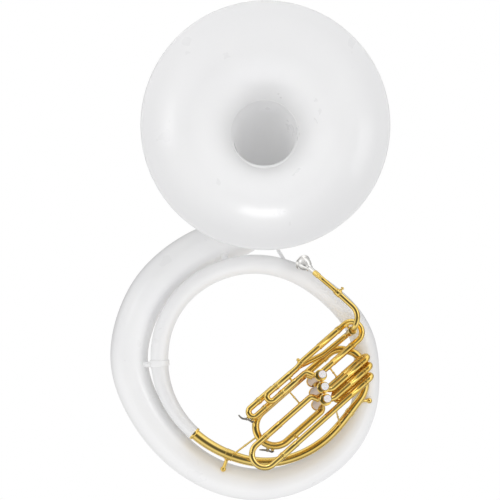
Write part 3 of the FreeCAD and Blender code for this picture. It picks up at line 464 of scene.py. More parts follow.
SHELL = white_shell("white_shell", 1.0)
BRANCH_SHELL = white_shell("branch_white", 0.93)
BELL_SHELL = white_shell("bell_white", 1.0)
BRASS = lacquered("gold_brass", (0.96, 0.71, 0.22), (0.89, 0.60, 0.14), 0.07, 0.14)
ROSE = lacquered("casing_brass", (0.80, 0.54, 0.33), (0.70, 0.45, 0.26), 0.12, 0.20)
NICKEL = lacquered("nickel", (0.80, 0.79, 0.77), (0.72, 0.71, 0.69), 0.10, 0.20, plate=True)
SILVER = lacquered("silver", (0.93, 0.92, 0.90), (0.86, 0.85, 0.82), 0.06, 0.14, plate=True)
AGED = lacquered("aged_nickel", (0.34, 0.32, 0.29), (0.22, 0.21, 0.20), 0.22, 0.36, plate=True)
STEEL = lacquered("spring_steel", (0.62, 0.62, 0.63), (0.52, 0.52, 0.53), 0.2, 0.32, plate=True)
PEARL = pearl_face()
FELT = soft_stuff("felt", (0.42, 0.06, 0.07), (0.26, 0.03, 0.04), 900.0, 0.7)
CORK = soft_stuff("cork", (0.60, 0.42, 0.24), (0.34, 0.21, 0.11), 520.0, 0.6)


# ------------ white coil
BRASS_STATIONS = [
    (28, 296, -20, 24.0), (45, 290, -19, 25.0), (65, 287, -18, 26.0),
    (85, 283, -17, 27.5), (108, 273, -14, 29.0), (132, 271, -8, 31.0),
]
INNER_STATIONS = [
    (132, 271, -8, 37.0), (148, 274, -5, 42.0), (164, 278, -2, 46.0), (180, 282, 0, 50.0)
]
OUTER_STATIONS = [
    (180, 282, 0, 50.0), (203, 288, 2, 52.0), (225, 289, 3, 53.0), (248, 286, 4, 54.0),
    (270, 283, 5, 55.0), (292, 279, 8, 57.0), (312, 281, 13, 61.0), (330, 294, 20, 66.0),
    (347, 308, 27, 69.0), (364, 315, 31, 72.0), (382, 330, 33, 75.0), (402, 345, 36, 79.0),
    (425, 351, 40, 84.0), (450, 355, 42, 90.0), (475, 350, 44, 95.0),
    (500, 348, 46, 100.0), (520, 357, 47, 104.0), (540, 373, 49, 108.0), (558, 374, 54, 112.0),
    (575, 373, 62, 116.0), (592, 367, 74, 120.0),
]
RISER_STATIONS = [
    (-150, 86, 331, 124.0), (-92, 93, 353, 127.0), (-36, 99, 384, 130.0),
    (4, 103, 433, 134.0), (18, 104, 490, 136.0), (18, 104, 500.0, 136.0),
]


def coil():
    """The whole coil's centre line, with its diameter as a fourth coordinate."""
    stations = BRASS_STATIONS + INNER_STATIONS[1:] + OUTER_STATIONS[1:]
    rows = [(*ring_point(turn, radius, depth), width) for turn, radius, depth, width in stations]
    rows += RISER_STATIONS
    curve, samples, knots = spline_through(rows, 3.0)
    return Path(curve[:, :3]), curve[:, 3] / 2, samples, knots


COIL, COIL_RADII, COIL_SAMPLES, COIL_KNOTS = coil()
BRASS_LAST = len(BRASS_STATIONS) - 1
INNER_LAST = BRASS_LAST + len(INNER_STATIONS) - 1
OUTER_LAST = len(COIL_KNOTS) - 1


def coil_s(knot):
    """Distance along the coil of a station."""
    return float(np.interp(COIL_KNOTS[knot], COIL_SAMPLES, COIL.s))


def coil_radius(s):
    return float(np.interp(s, COIL.s, COIL_RADII))


def coil_rows(start, end, step=3.0):
    count = max(2, int((end - start) / step))
    return [(s, coil_radius(s)) for s in np.linspace(start, end, count + 1)]


def seam_rings(rows, sides, height):
    """Rings along the coil with a fine moulding seam on both sides of the shell."""
    rings = []
    seam = {0, sides // 2}
    for s, radius in rows:
        point, tangent, normal = COIL.place(s)
        ring = ring_at(point, tangent, normal, radius, sides)
        for k in seam:
            ring[k] += unit(ring[k] - point) * height
        rings.append(ring)
    return rings


def inner_branch_rows():
    """The small white branch: 37 mm at the brass end, growing to the sleeve."""
    start, end = coil_s(BRASS_LAST), coil_s(INNER_LAST)
    diameters = [row[3] for row in INNER_STATIONS]
    places = [coil_s(BRASS_LAST + k) for k in range(len(INNER_STATIONS))]
    rows = [(start, 15.9), (start, 17.6), (start + 0.8, 18.5)]
    for s in np.linspace(start + 2.0, end, 80):
        rows.append((s, float(np.interp(s, places, diameters)) / 2))
    return rows


OUTER_START, OUTER_END = coil_s(INNER_LAST), coil_s(OUTER_LAST)
outer_rows = coil_rows(OUTER_START, OUTER_END - 1.0, step=3.5)
LIP_R, SHELL_SIDES = 67.0, 112
outer_rows.append((OUTER_END, LIP_R))
outer_skin = rings_mesh(seam_rings(outer_rows, SHELL_SIDES, 0.22), True, False)
riser_inside = [(s, r - SHELL_WALL) for s, r in coil_rows(OUTER_END - 420.0, OUTER_END, step=8.0)]
inside_rings = seam_rings(riser_inside, SHELL_SIDES, 0.0)
lip = ring_at(*COIL.place(OUTER_END), LIP_R, SHELL_SIDES)
inside_skin = rings_mesh([lip] + inside_rings[::-1], False, True)
piece("outer_branch_shell", joined([outer_skin, inside_skin]), SHELL, "horn", "outer_branch")
inner_skin = rings_mesh(seam_rings(inner_branch_rows(), 80, 0.18), True, True)
piece("inner_branch_shell", inner_skin, BRANCH_SHELL, "horn", "inner_branch")


def band_rows(centre_s, half, low, high, edge=1.6):
    """A raised band on the coil with softened edges."""
    rows = [
        (half, low), (half, high - edge), (half - edge * 0.5, high - edge * 0.3),
        (half - edge * 1.2, high)
    ]
    return mirrored(rows, centre_s)


sleeve = sweep(COIL, band_rows(OUTER_START, 9.0, 24.0, 28.0), 80)
piece("branch_sleeve_band", sleeve, SHELL, "horn", "branch_sleeve")


def flared_post(start, end, start_deep, end_deep, radius, foot, rise, sides=40, bead=None):
    """A post between two tubes whose ends swell into them."""
    length = float(np.linalg.norm(end - start))
    rows = [(start_deep - 4.0, foot * 0.98), (start_deep, foot)]
    fillet = []
    for t in np.radians(np.linspace(90, 0, 8)):
        lift = rise * (1 - math.cos(math.pi / 2 - t)) + 0.8
        fillet.append((lift, foot - (foot - radius) * math.cos(t)))
    rows += [(start_deep + lift, r) for lift, r in fillet]
    if bead is not None:
        middle = (start_deep + length - end_deep) / 2
        side = [(2.6, radius), (1.6, radius + bead * 0.8)]
        rows += [(middle - gap, r) for gap, r in side] + [(middle, radius + bead)]
        rows += [(middle + gap, r) for gap, r in side[::-1]]
    tail = length - end_deep
    rows += [(tail - lift, r) for lift, r in fillet[::-1]]
    rows += [(tail, foot), (tail + 4.0, foot * 0.98)]
    return lathe(rows, start, end - start, sides)


def stay_blocks():
    upper = flared_post(ring_point(252, 286, 4), vec(-108, 89, 347), 25.0, 61.0, 9.0, 13.5, 8.0)
    side = flared_post(
        ring_point(179, 282, 0), ring_point(539, 373, 49), 25.0, 53.0, 8.0, 11.5, 5.0
    )
    riser = flared_post(ring_point(290, 279, 8), vec(-2, 101, 424), 27.5, 65.0, 5.0, 10.5, 7.0)
    return joined([upper, side, riser])


piece("stay_block_posts", stay_blocks(), SHELL, "horn", "stay_blocks")

# ------------ bell
BELL_CENTRE = vec(BELL_X, 0, BELL_Z)
FLARE_LENGTH, ELBOW_R, TENON_Y = 292.0, 112.0, 104.0
INTO = vec(0, 1, 0)
MOUTH_R, FLARE_REACH, FLARE_POWER = 330.0, 80.0, 0.8


def flare_radius(depth):
    return MOUTH_R * (FLARE_REACH / (FLARE_REACH + depth)) ** FLARE_POWER


def bell_flare():
    """Inner face from the throat to the mouth, then the outer face back."""
    depths = FLARE_LENGTH * np.linspace(0, 1, 90) ** 1.8
    inner, outer = [], []
    for depth in depths:
        radius = flare_radius(depth)
        slope = -FLARE_POWER * radius / (FLARE_REACH + depth)
        length = math.hypot(1, slope)
        inner.append((RIM_Y + depth, radius))
        blend = min(1.0, (FLARE_LENGTH - depth) / 40.0)
        shift = np.array([-slope / length * blend, 1 / length * blend + (1 - blend)]) * SHELL_WALL
        outer.append((RIM_Y + depth + shift[0], radius + shift[1]))
    return lathe_open(inner[::-1] + outer, BELL_CENTRE, INTO, 224)


def lathe_open(rows, origin, axis, sides):
    side = side_of(unit(axis))
    rings = [ring_at(origin + unit(axis) * s, unit(axis), side, r, sides) for s, r in rows]
    return rings_mesh(rings, False, False)


piece("bell_flare_shell", bell_flare(), BELL_SHELL, "bell", "bell_flare", sharp=50)


def torus(centre, axis, major, minor, sides, turns=20):
    side = side_of(axis)
    rings = []
    for k in range(turns + 1):
        t = 2 * math.pi * k / turns
        middle = centre + axis * minor * math.sin(t)
        rings.append(ring_at(middle, axis, side, major + minor * math.cos(t), sides))
    return rings_mesh(rings, False, False)


bead = torus(BELL_CENTRE + INTO * (RIM_Y + 4.5), INTO, 327.5, 4.0, 224)
piece("bell_rim_bead", bead, BELL_SHELL, "bell", "bell_rim", sharp=80)

ELBOW_START_Z = BELL_Z - ELBOW_R
ELBOW_ROOT = 70.0
ELBOW_TOP = flare_radius(FLARE_LENGTH) + SHELL_WALL


def elbow_rings(shrink, sides=112):
    rings = []
    for z in np.linspace(540.0, ELBOW_START_Z, 2)[:-1]:
        rings.append(ring_at(vec(BELL_X, TENON_Y, z), UP, vec(1, 0, 0), ELBOW_ROOT - shrink, sides))
    for share in np.linspace(0, 1, 46):
        angle = share * math.pi / 2
        y = TENON_Y - ELBOW_R + ELBOW_R * math.cos(angle)
        z = ELBOW_START_Z + ELBOW_R * math.sin(angle)
        axis = vec(0, -math.sin(angle), math.cos(angle))
        growth = 0.77 * share + 0.23 * share * share
        radius = ELBOW_ROOT + (ELBOW_TOP - ELBOW_ROOT) * growth - shrink
        rings.append(ring_at(vec(BELL_X, y, z), axis, vec(1, 0, 0), radius, sides))
    return rings


def bell_elbow():
    outer = elbow_rings(0.0)
    inner = elbow_rings(SHELL_WALL)
    return rings_mesh(inner[::-1] + outer, False, False)


piece("bell_elbow_shell", bell_elbow(), BELL_SHELL, "bell", "bell_elbow", sharp=50)


def glue_band(place_y, radius, half):
    side = [(half, radius - 2.0), (half, radius + 0.6), (half - 1.2, radius + 1.8)]
    rows = [(-gap, r) for gap, r in side] + [(0, radius + 2.0)] + side[::-1]
    return lathe_open(rows, BELL_CENTRE + INTO * place_y, INTO, 160)


piece("bell_joint_band", glue_band(RIM_Y + FLARE_LENGTH, ELBOW_TOP - 0.2, 7.0), BELL_SHELL, "bell")

# ------------ tenon, collar and their screws
TENON_CENTRE = vec(BELL_X, TENON_Y, 0)
SCREW_TURNS, SCREW_Z = (30.0, 150.0, 270.0), 518.0
tenon_rows = [
    (503.0, 64.4), (503.0, 65.4), (503.8, 66.0), (536.0, 66.0), (536.0, 71.2), (536.6, 72.0),
    (539.4, 72.0), (540.0, 71.2), (540.0, 66.6), (542.5, 66.6), (542.5, 64.4), (503.0, 64.4),
]
piece(
    "bell_tenon_ring", lathe_open(tenon_rows, TENON_CENTRE, UP, 112), NICKEL, "bell", "bell_tenon"
)


def radial(angle, distance, height):
    turn = math.radians(angle)
    return vec(BELL_X + distance * math.cos(turn), TENON_Y + distance * math.sin(turn), height)


def bell_collar():
    rows = [
        (490.0, 67.6), (490.0, 70.0), (490.8, 70.6), (492.0, 70.6), (493.0, 71.4), (496.0, 72.0),
        (498.5, 72.0), (499.2, 71.3), (500.0, 71.3), (500.8, 72.0), (509.0, 72.0), (509.5, 71.5),
        (527.0, 71.5), (527.5, 72.0), (534.6, 72.0), (535.8, 71.0), (535.8, 66.1), (500.5, 66.1),
        (500.5, 67.6), (490.0, 67.6),
    ]
    parts = [lathe_open(rows, TENON_CENTRE, UP, 112)]
    for angle in SCREW_TURNS:
        outward = radial(angle, 1.0, 0) - radial(angle, 0.0, 0)
        boss = [
            (0, 8.6), (2.0, 8.2), (3.2, 7.2), (4.0, 7.0), (9.0, 7.0), (10.0, 6.2), (10.0, 3.1),
            (2.0, 3.1)
        ]
        parts.append(lathe(boss, radial(angle, 69.0, SCREW_Z), outward, 40))
    return joined(parts)


piece("bell_collar_ring", bell_collar(), NICKEL, "horn", "bell_collar")


def thumb_screw(tip, axis, shank, shank_length, knob, knob_length):
    """Threaded shank and a scalloped thumb knob with a turned button on its end."""
    thread = [(0, shank - 0.5)]
    turns = int((shank_length - 3.0) / 0.8)
    for k in range(turns):
        thread += [(0.4 + 0.8 * k, shank - 0.25), (0.8 + 0.8 * k, shank)]
    thread += [(shank_length - 2.0, shank), (shank_length, knob * 0.55)]
    start, end = shank_length, shank_length + knob_length
    rows = thread + [
        (start, knob * 0.86), (start + 0.7, knob * 0.98), (end - 0.7, knob * 0.98),
        (end, knob * 0.86), (end, knob * 0.52), (end + 0.8, knob * 0.5), (end + 1.5, knob * 0.3),
    ]
    waves = set(range(len(thread), len(thread) + 4))
    return lathe(
        rows, tip, axis, 96, waves, lambda a: 1.0 - 0.16 * np.maximum(np.cos(a * 8), 0) ** 1.5
    )


for index, angle in enumerate(SCREW_TURNS):
    tip = radial(angle, 69.6, SCREW_Z)
    screw = thumb_screw(tip, radial(angle, 100.0, SCREW_Z) - tip, 3.0, 14.0, 9.0, 6.0)
    node = "bell_screw_" + str(index + 1)
    piece(node + "_knob", screw, NICKEL, node, node)

# ------------ brass branch and the pipes to it
TUBE_R, LEG_R, SLEEVE_R, RING_R = 8.5, 8.0, 9.3, 10.4
EXIT_LEVEL, LEAD_LEVEL = -58.0, -32.0
EXIT_R, BOW_R = 10.5, 11.0
EXIT_LOW, EXIT_HIGH = -48.5, 58.5
EXIT_MID = (-158.0, 5.0)
EXIT_BEND = 53.49
CASING_R, CASING_INSIDE, CASING_REACH = 15.0, 14.3, 14.0
VALVE_STEP = (17.2, 29.5)


def straight(start, end):
    return Path([start, (start + end) / 2, end])


def valve_point(number, level):
    steps = 2 - number
    return at(VALVE_STEP[0] * steps, VALVE_STEP[1] * steps, level)


def casing_cut(number):
    """The cylinder (point, axis, radius) that a tube is cut to at a valve."""
    return (valve_point(number, 0), VALVE_AXIS, CASING_INSIDE)


def braze(path, s, way, tube_radius, number, size=1.3, sides=40):
    """A small fillet of solder where a tube runs into a valve casing."""
    point, tangent, normal = path.place(s)
    direction = tangent * way
    rings = []
    steps = (
        (tube_radius + size, CASING_R - 0.25, 0.0),
        (tube_radius + size * 0.45, CASING_R + 0.1, size * 0.25),
        (tube_radius + size * 0.12, CASING_R + 0.1, size * 0.6),
        (tube_radius - 0.05, CASING_R + 0.1, size * 1.3),
    )
    for radius, onto, push in steps:
        ring = ring_at(point, tangent, normal, radius, sides)
        ring = onto_cylinder(ring, direction, valve_point(number, 0), VALVE_AXIS, onto)
        rings.append(ring - direction * push)
    return rings_mesh(rings, False, False)


def brass_branch():
    start, end = coil_s(0), coil_s(BRASS_LAST)
    places = [coil_s(k) for k in range(len(BRASS_STATIONS))]
    radii = [row[3] / 2 for row in BRASS_STATIONS]
    rows = [(s, float(np.interp(s, places, radii))) for s in np.linspace(start, end + 1.0, 190)]
    return rings_mesh(seam_rings(rows, 64, 0.0))


piece("brass_branch_tube", brass_branch(), BRASS, "horn", "first_branch")

exit_turns = [
    (-17.2, -29.5), (-21.0, EXIT_LOW), (-211.5, EXIT_LOW), (-211.5, EXIT_HIGH), (80.0, EXIT_HIGH),
]
exit_corners = [at(*turn, EXIT_LEVEL) for turn in exit_turns]
EXIT_PATH = Path(rounded_path(exit_corners, [14.0, EXIT_BEND, EXIT_BEND]))
COIL_START, COIL_WAY, _ = COIL.place(0.0)
bow_start = at(80.0, EXIT_HIGH, EXIT_LEVEL)
bow_corners = [
    bow_start, bow_start + SLIDE_AXIS * 45.0, vec(288, -20, 28), COIL_START - COIL_WAY * 86.0,
    COIL_START
]
BOW_PATH = Path(rounded_path(bow_corners, [50.0, 45.0, 80.0]))


class Key:
    """A water key on a slide's bow; lever holds (radius, angle) places round the bow's centre."""

    def __init__(self, centre, level, surface, bow_angle, lever):
        self.centre, self.level, self.surface = centre, level, surface
        self.bow_angle, self.lever = bow_angle, lever

    def polar(self, radius, angle, lift=0.0):
        along, across = self.centre
        turn = math.radians(angle)
        return at(
            along - radius * math.cos(turn), across + radius * math.sin(turn), self.level + lift
        )

    def nipple(self):
        foot = self.polar(self.surface - 3.0, self.bow_angle)
        rows = [
            (0, 6.6), (2.6, 6.4), (3.2, 5.2), (4.0, 4.5), (5.4, 4.0), (6.0, 3.7), (6.0, 1.6),
            (2.0, 1.6)
        ]
        return lathe(rows, foot, self.polar(self.surface + 9.0, self.bow_angle) - foot, 40)

    def saddle(self):
        """Two rounded ears on a curved foot, one each side of the lever."""
        radius, angle = self.lever[1]
        outward = unit(self.polar(radius, angle) - self.polar(radius - 10.0, angle))
        along = unit(np.cross(outward, VALVE_AXIS))
        parts = []
        for side in (-1, 1):
            centre = self.polar(radius, angle, side * 4.6)
            base = self.surface - 3.0 - radius
            outline = [along * -4.6 + outward * base, along * 4.6 + outward * base]
            outline += [along * 3.4 + outward * -2.0]
            for turn in np.linspace(-20, 200, 14):
                t = math.radians(turn)
                outline.append(along * 3.2 * math.cos(t) + outward * 3.0 * math.sin(t))
            outline.append(along * -3.4 + outward * -2.0)
            outline = np.array(outline)
            faces_at = (-0.8, -0.55, 0.55, 0.8)
            inset = (0.94, 1.0, 1.0, 0.94)
            rings = [centre + outline * k + VALVE_AXIS * d for d, k in zip(faces_at, inset)]
            parts.append(rings_mesh(rings))
        return parts

    def cup(self):
        foot = self.polar(self.surface + 5.0, self.bow_angle)
        rows = [
            (-0.6, 4.35), (-0.6, 4.9), (0.4, 5.1), (1.6, 4.9), (2.6, 3.2), (3.4, 1.9), (3.8, 0.6)
        ]
        return lathe(rows, foot, self.polar(self.surface + 9.0, self.bow_angle) - foot, 36)

    def arm(self):
        """Flat tapering lever from the cork cup past its pin to a thumb plate."""
        points = np.array([self.polar(*place) for place in self.lever])
        curve, _, _ = spline_through(points, 0.8)
        path = Path(curve, side=VALVE_AXIS)
        rings = []
        for s in np.linspace(0, path.length, 60):
            share = s / path.length
            point, tangent, normal = path.place(s)
            up = np.cross(tangent, normal)
            swell = max(0.0, (share - 0.72) / 0.28)
            fade = 1.0 if share < 0.94 else (1 - share) / 0.06
            wide = max(1.2, 2.3 + 3.2 * math.sin(min(1.0, swell * 1.15) * math.pi / 2) * fade)
            thick = 2.7 - 1.0 * swell
            angles = np.arange(28) * 2 * math.pi / 28
            across = np.outer(wide * np.cos(angles), normal)
            rings.append(point + across + np.outer(thick * np.sin(angles), up))
        barrel_ends = [self.polar(*self.lever[1], lift) for lift in (-3.4, 3.4)]
        return [rings_mesh(rings), rod_shape(barrel_ends[0], barrel_ends[1], 2.9, 28)]

    def cork(self):
        start = self.polar(self.surface + 3.0, self.bow_angle)
        end = self.polar(self.surface + 5.2, self.bow_angle)
        rows = [(0, 3.9), (0.3, 4.2), (1.6, 4.25), (2.2, 4.1)]
        return lathe(rows, start, end - start, 36)

    def pin(self):
        ends = [self.polar(*self.lever[1], lift) for lift in (-6.4, 6.4)]
        rows = [(0, 1.2), (0.3, 2.2), (1.0, 2.2), (1.3, 1.6)]
        head = lathe(rows, ends[1] - VALVE_AXIS * 0.2, VALVE_AXIS, 24)
        return joined([rod_shape(ends[0], ends[1], 1.4, 20), head])

    def spring(self):
        """Wire coils round the barrel, with one leg under the lever and one on the bow."""
        centre = self.polar(*self.lever[1])
        outward = unit(centre - self.polar(self.lever[1][0] - 10.0, self.lever[1][1]))
        along = unit(np.cross(outward, VALVE_AXIS))
        points = [centre - along * 9.0 - outward * 1.6 + VALVE_AXIS * 2.6]
        for k in range(60):
            t = 2 * math.pi * k / 16 - math.pi / 2
            around = along * math.cos(t) + outward * math.sin(t)
            points.append(centre + around * 3.4 + VALVE_AXIS * (2.9 - k * 0.095))
        points.append(centre + along * 9.0 - outward * 1.2 - VALVE_AXIS * 2.8)
        path = Path(points)
        return sweep(path, [(0, 0.4), (path.length, 0.4)], 8)


MAIN_KEY = Key(
    (-180.0, 75.25), -32.0, 22.2, -42.0, [(29.6, -42.0), (28.2, -6.0), (36.0, 9.0), (43.2, 29.0)]
)
EXIT_KEY = Key(EXIT_MID, EXIT_LEVEL, 64.0, -43.5, [(71.4, -43.5), (70.0, -31.5), (78.0, -15.0)])


def collar_profile(centre, half, low, high):
    """Raised ferrule rows with a bead at each end."""
    bead = [(half - 0.5, high + 0.25), (half - 1.3, high + 0.25), (half - 1.8, high - 0.2)]
    return mirrored([(half, low), (half, high - 0.3)] + bead, centre)


exit_tube = sweep(
    EXIT_PATH, [(CASING_REACH, EXIT_R), (EXIT_PATH.length, EXIT_R)], 44, start_on=casing_cut(3)
)
exit_shapes = [exit_tube, braze(EXIT_PATH, CASING_REACH, -1, EXIT_R, 3), EXIT_KEY.nipple()]
exit_shapes += EXIT_KEY.saddle()
piece("exit_pipe_tube", joined(exit_shapes), BRASS, "horn", "exit_pipe")
bow_tube = sweep(
    BOW_PATH, [(0, BOW_R), (BOW_PATH.length - 90.0, BOW_R), (BOW_PATH.length, 11.9)], 48
)
piece("bow_pipe_tube", bow_tube, BRASS, "horn", "bow_pipe")


def pipe_ferrules():
    brass_s = coil_s(BRASS_LAST)
    big = [
        (brass_s - 4.0, 15.4), (brass_s - 4.0, 17.2), (brass_s - 3.2, 18.6), (brass_s - 2.0, 19.2),
        (brass_s + 2.6, 19.2), (brass_s + 3.6, 19.0), (brass_s + 4.0, 18.3),
    ]
    small = straight(COIL_START - COIL_WAY * 7.0, COIL_START + COIL_WAY * 7.0)
    join = straight(at(74.0, EXIT_HIGH, EXIT_LEVEL), at(86.0, EXIT_HIGH, EXIT_LEVEL))
    return joined([
        sweep(COIL, big, 72),
        sweep(small, collar_profile(7.0, 6.0, 11.5, 13.4), 48),
        sweep(join, collar_profile(6.0, 6.0, 10.0, 12.3), 48),
    ])


piece("pipe_ferrule_rings", pipe_ferrules(), BRASS, "horn", "pipe_ferrules")

# ------------ leadpipe, receiver, neck, bit, mouthpiece
# Each slide: far leg and near leg (across, level), sleeve from and to, end of the bow (all along)
MAIN = ((89.0, -32.0), (61.5, -32.0), -95.0, -150.0, -180.0)
FIRST_LOW = ((87.5, 0.0), (62.4, 0.0), -35.0, -92.0, -119.5)
FIRST_UP = ((92.2, 0.0), (33.5, 0.0), 75.0, 150.0, 175.5)
SECOND = ((-11.6, -14.0), (-21.0, 8.0), 80.0, 134.0, 150.0)
THIRD_LOW = ((2.6, 0.0), (-68.0, 0.0), -150.0, -205.0, -239.0)
THIRD_MID = ((-34.4, -14.0), (-43.5, 8.0), 70.0, 124.0, 140.2)
THIRD_UP = ((-58.5, -22.0), (-68.0, 0.0), 55.0, 109.0, 124.3)
ALL_SLIDES = [MAIN, FIRST_LOW, FIRST_UP, SECOND, THIRD_LOW, THIRD_MID, THIRD_UP]

RECEIVER = (169.5, 65.0)


def into_sleeve(slide, leg):
    """Where a block tube ends, a little way into a slide's outer sleeve."""
    return (slide[2] + math.copysign(4.0, slide[2]), *slide[leg])


lead_corners = [
    at(*RECEIVER, 12.0), at(*RECEIVER, LEAD_LEVEL), at(75.0, 68.0, LEAD_LEVEL),
    at(2.0, 88.0, LEAD_LEVEL), at(*into_sleeve(MAIN, 0)),
]
LEAD_PATH = Path(rounded_path(lead_corners, [16.0, 90.0, 90.0]))
lead_tube = sweep(LEAD_PATH, [(0, 8.0), (LEAD_PATH.length, 8.0)], 36)
piece("leadpipe_tube", lead_tube, BRASS, "horn", "leadpipe")


def receiver():
    rows = [
        (0, 8.0), (0, 9.6), (0.7, 10.4), (2.0, 10.6), (3.0, 10.2), (34.5, 10.4), (35.2, 11.2),
        (36.4, 11.8), (40.8, 11.8), (41.7, 11.2), (42.0, 10.4), (42.0, 8.05), (4.0, 8.05),
    ]
    boss = [(0, 5.2), (0.8, 5.0), (1.4, 4.5), (4.0, 4.5), (4.6, 4.0), (4.6, 2.05), (1.0, 2.05)]
    return joined([
        lathe(rows, at(*RECEIVER, 2.0), VALVE_AXIS, 56),
        lathe(boss, at(RECEIVER[0], 74.4, 31.0), ACROSS_AXIS, 36),
    ])


piece("neck_receiver_tube", receiver(), BRASS, "horn", "neck_receiver")
receiver_screw = thumb_screw(at(RECEIVER[0], 73.2, 31.0), ACROSS_AXIS, 2.0, 9.0, 6.0, 5.0)
piece("receiver_thumb_screw", receiver_screw, BRASS, "receiver_screw", "receiver_screw")

NECK_END = vec(217, -113, 209)
NECK_CORNER = vec(281, -125, 150)
NECK_AXIS = unit(NECK_END - NECK_CORNER)
NECK_SCREW_AXIS = unit(-np.cross(NECK_AXIS, vec(0, 1, 0)))
neck_corners = [at(*RECEIVER, 12.5), at(*RECEIVER, 68.0), NECK_CORNER, NECK_END]
NECK_PATH = Path(rounded_path(neck_corners, [20.0, 42.0]))
NECK_LENGTH = NECK_PATH.length


def neck():
    rows = [
        (0, 7.0), (0.5, 8.0), (NECK_LENGTH - 16.0, 8.0), (NECK_LENGTH - 15.0, 9.2),
        (NECK_LENGTH - 14.2, 10.0), (NECK_LENGTH - 13.0, 10.0), (NECK_LENGTH - 12.2, 9.5),
        (NECK_LENGTH - 2.6, 9.5), (NECK_LENGTH - 2.0, 10.0), (NECK_LENGTH - 0.8, 10.0),
        (NECK_LENGTH, 9.2), (NECK_LENGTH, 7.1),
    ]
    boss = [(0, 5.4), (1.2, 5.0), (2.0, 4.5), (4.4, 4.5), (5.0, 4.0), (5.0, 2.05), (2.0, 2.05)]
    foot = NECK_END - NECK_AXIS * 7.5 + NECK_SCREW_AXIS * 8.2
    return joined([sweep(NECK_PATH, rows, 40), lathe(boss, foot, NECK_SCREW_AXIS, 36)])


piece("neck_tube", neck(), BRASS, "neck", "neck")
neck_tip = NECK_END - NECK_AXIS * 7.5 + NECK_SCREW_AXIS * 7.2
neck_screw = thumb_screw(neck_tip, NECK_SCREW_AXIS, 2.0, 8.5, 4.8, 4.4)
piece("neck_thumb_screw", neck_screw, BRASS, "neck_screw", "neck_screw")

RIM = vec(125, -38, 290)
RIM_AXIS = unit([0.496, -0.748, -0.439])
bit_corners = [
    RIM + RIM_AXIS * 68.0, RIM + RIM_AXIS * 102.0, NECK_END + NECK_AXIS * 10.0,
    NECK_END - NECK_AXIS * 14.0
]
BIT_PATH = Path(rounded_path(bit_corners, [20.0, 50.0]))


def bit():
    stop = BIT_PATH.length - 16.5
    rows = [
        (0, 6.7), (0, 7.8), (0.5, 8.2), (18.5, 8.2), (20.5, 7.9), (22.0, 7.3), (24.0, 7.0),
        (stop - 3.0, 7.0), (stop - 2.2, 8.0), (stop - 1.4, 8.6), (stop + 1.4, 8.6),
        (stop + 2.2, 8.0), (stop + 2.6, 7.0), (BIT_PATH.length, 7.0),
    ]
    return sweep(BIT_PATH, rows, 40)


piece("bit_tube", bit(), BRASS, "bit", "bit")


def smooth_rows(rows, spacing=0.5):
    flat = [(a, r, 0.0) for a, r in rows]
    curve, _, _ = spline_through(flat, spacing)
    return [(float(a), float(r)) for a, r in curve[:, :2]]


def mouthpiece():
    rim = arc_rows(3.1, 20.3, 3.1, 200, 10, 16)
    cup = smooth_rows([
        (6.0, 22.0), (8.0, 20.9), (13.0, 19.9), (20.0, 18.2), (27.0, 15.0), (33.0, 11.2),
        (37.0, 9.3)
    ])
    ring = [(38.0, 9.2), (38.6, 9.9), (39.8, 10.3), (41.0, 9.9), (41.6, 8.9)]
    shank = smooth_rows([(42.5, 8.3), (48.0, 7.7), (58.0, 7.3), (67.0, 7.2)], 2.0)
    tail = [(67.2, 6.6), (87.6, 6.6), (88.0, 6.3), (88.0, 5.6), (80.0, 5.4), (50.0, 4.2)]
    bore = smooth_rows(
        [(38.0, 4.0), (34.0, 5.0), (30.0, 8.0), (24.0, 12.0), (14.0, 15.3), (5.0, 16.6)], 1.0
    )
    rows = rim + cup + ring + shank + tail + bore + [rim[0]]
    return lathe_open(rows, RIM, RIM_AXIS, 96)


piece("mouthpiece_body", mouthpiece(), SILVER, "mouthpiece", "mouthpiece", sharp=40)


# ------------ valve casings, caps, pistons, buttons
def knurl(teeth, depth):
    return lambda angles: 1.0 - depth * (0.5 + 0.5 * np.cos(angles * teeth))


def casing_shape(number):
    rows = [
        (-104.0, 13.7), (-104.0, 15.0), (-94.0, 15.0), (-93.4, 15.5), (-91.8, 15.5), (-91.2, 15.0),
        (26.8, 15.0), (27.4, 15.5), (29.0, 15.5), (29.6, 15.0), (42.0, 15.0), (42.0, 13.7),
    ]
    return lathe(rows, valve_point(number, 0), VALVE_AXIS, 72)


THREE = (1, 2, 3)
for number in THREE:
    node = "casing_" + str(number)
    piece(node + "_tube", casing_shape(number), ROSE, "horn", node)


def top_cap(number):
    rows = [
        (34.6, 15.0), (34.6, 16.4), (35.2, 17.0), (36.2, 17.0), (36.6, 16.5), (36.9, 16.8),
        (41.6, 16.8), (41.9, 16.5), (42.3, 16.9), (43.2, 16.9), (44.2, 15.6), (45.0, 13.2),
        (45.4, 11.0), (46.0, 9.6), (46.0, 3.1),
    ]
    return lathe(rows, valve_point(number, 0), VALVE_AXIS, 192, {5, 6}, knurl(64, 0.022))


def bottom_cap(number):
    rows = [
        (-96.6, 15.0), (-96.6, 16.0), (-97.2, 16.6), (-98.2, 16.6), (-98.6, 16.2), (-98.9, 16.5),
        (-103.6, 16.5), (-104.0, 16.2), (-104.4, 16.6), (-105.2, 16.4), (-106.6, 14.2),
        (-108.0, 9.0), (-108.8, 7.4), (-110.2, 6.8), (-111.0, 6.0), (-111.0, 2.0), (-108.0, 2.0),
    ]
    return lathe(rows, valve_point(number, 0), VALVE_AXIS, 192, {5, 6}, knurl(64, 0.022))


def felt_ring(number):
    rows = [(46.0, 6.6), (46.4, 7.0), (48.0, 7.1), (48.5, 6.6), (48.5, 3.1)]
    return lathe(rows, valve_point(number, 0), VALVE_AXIS, 48)


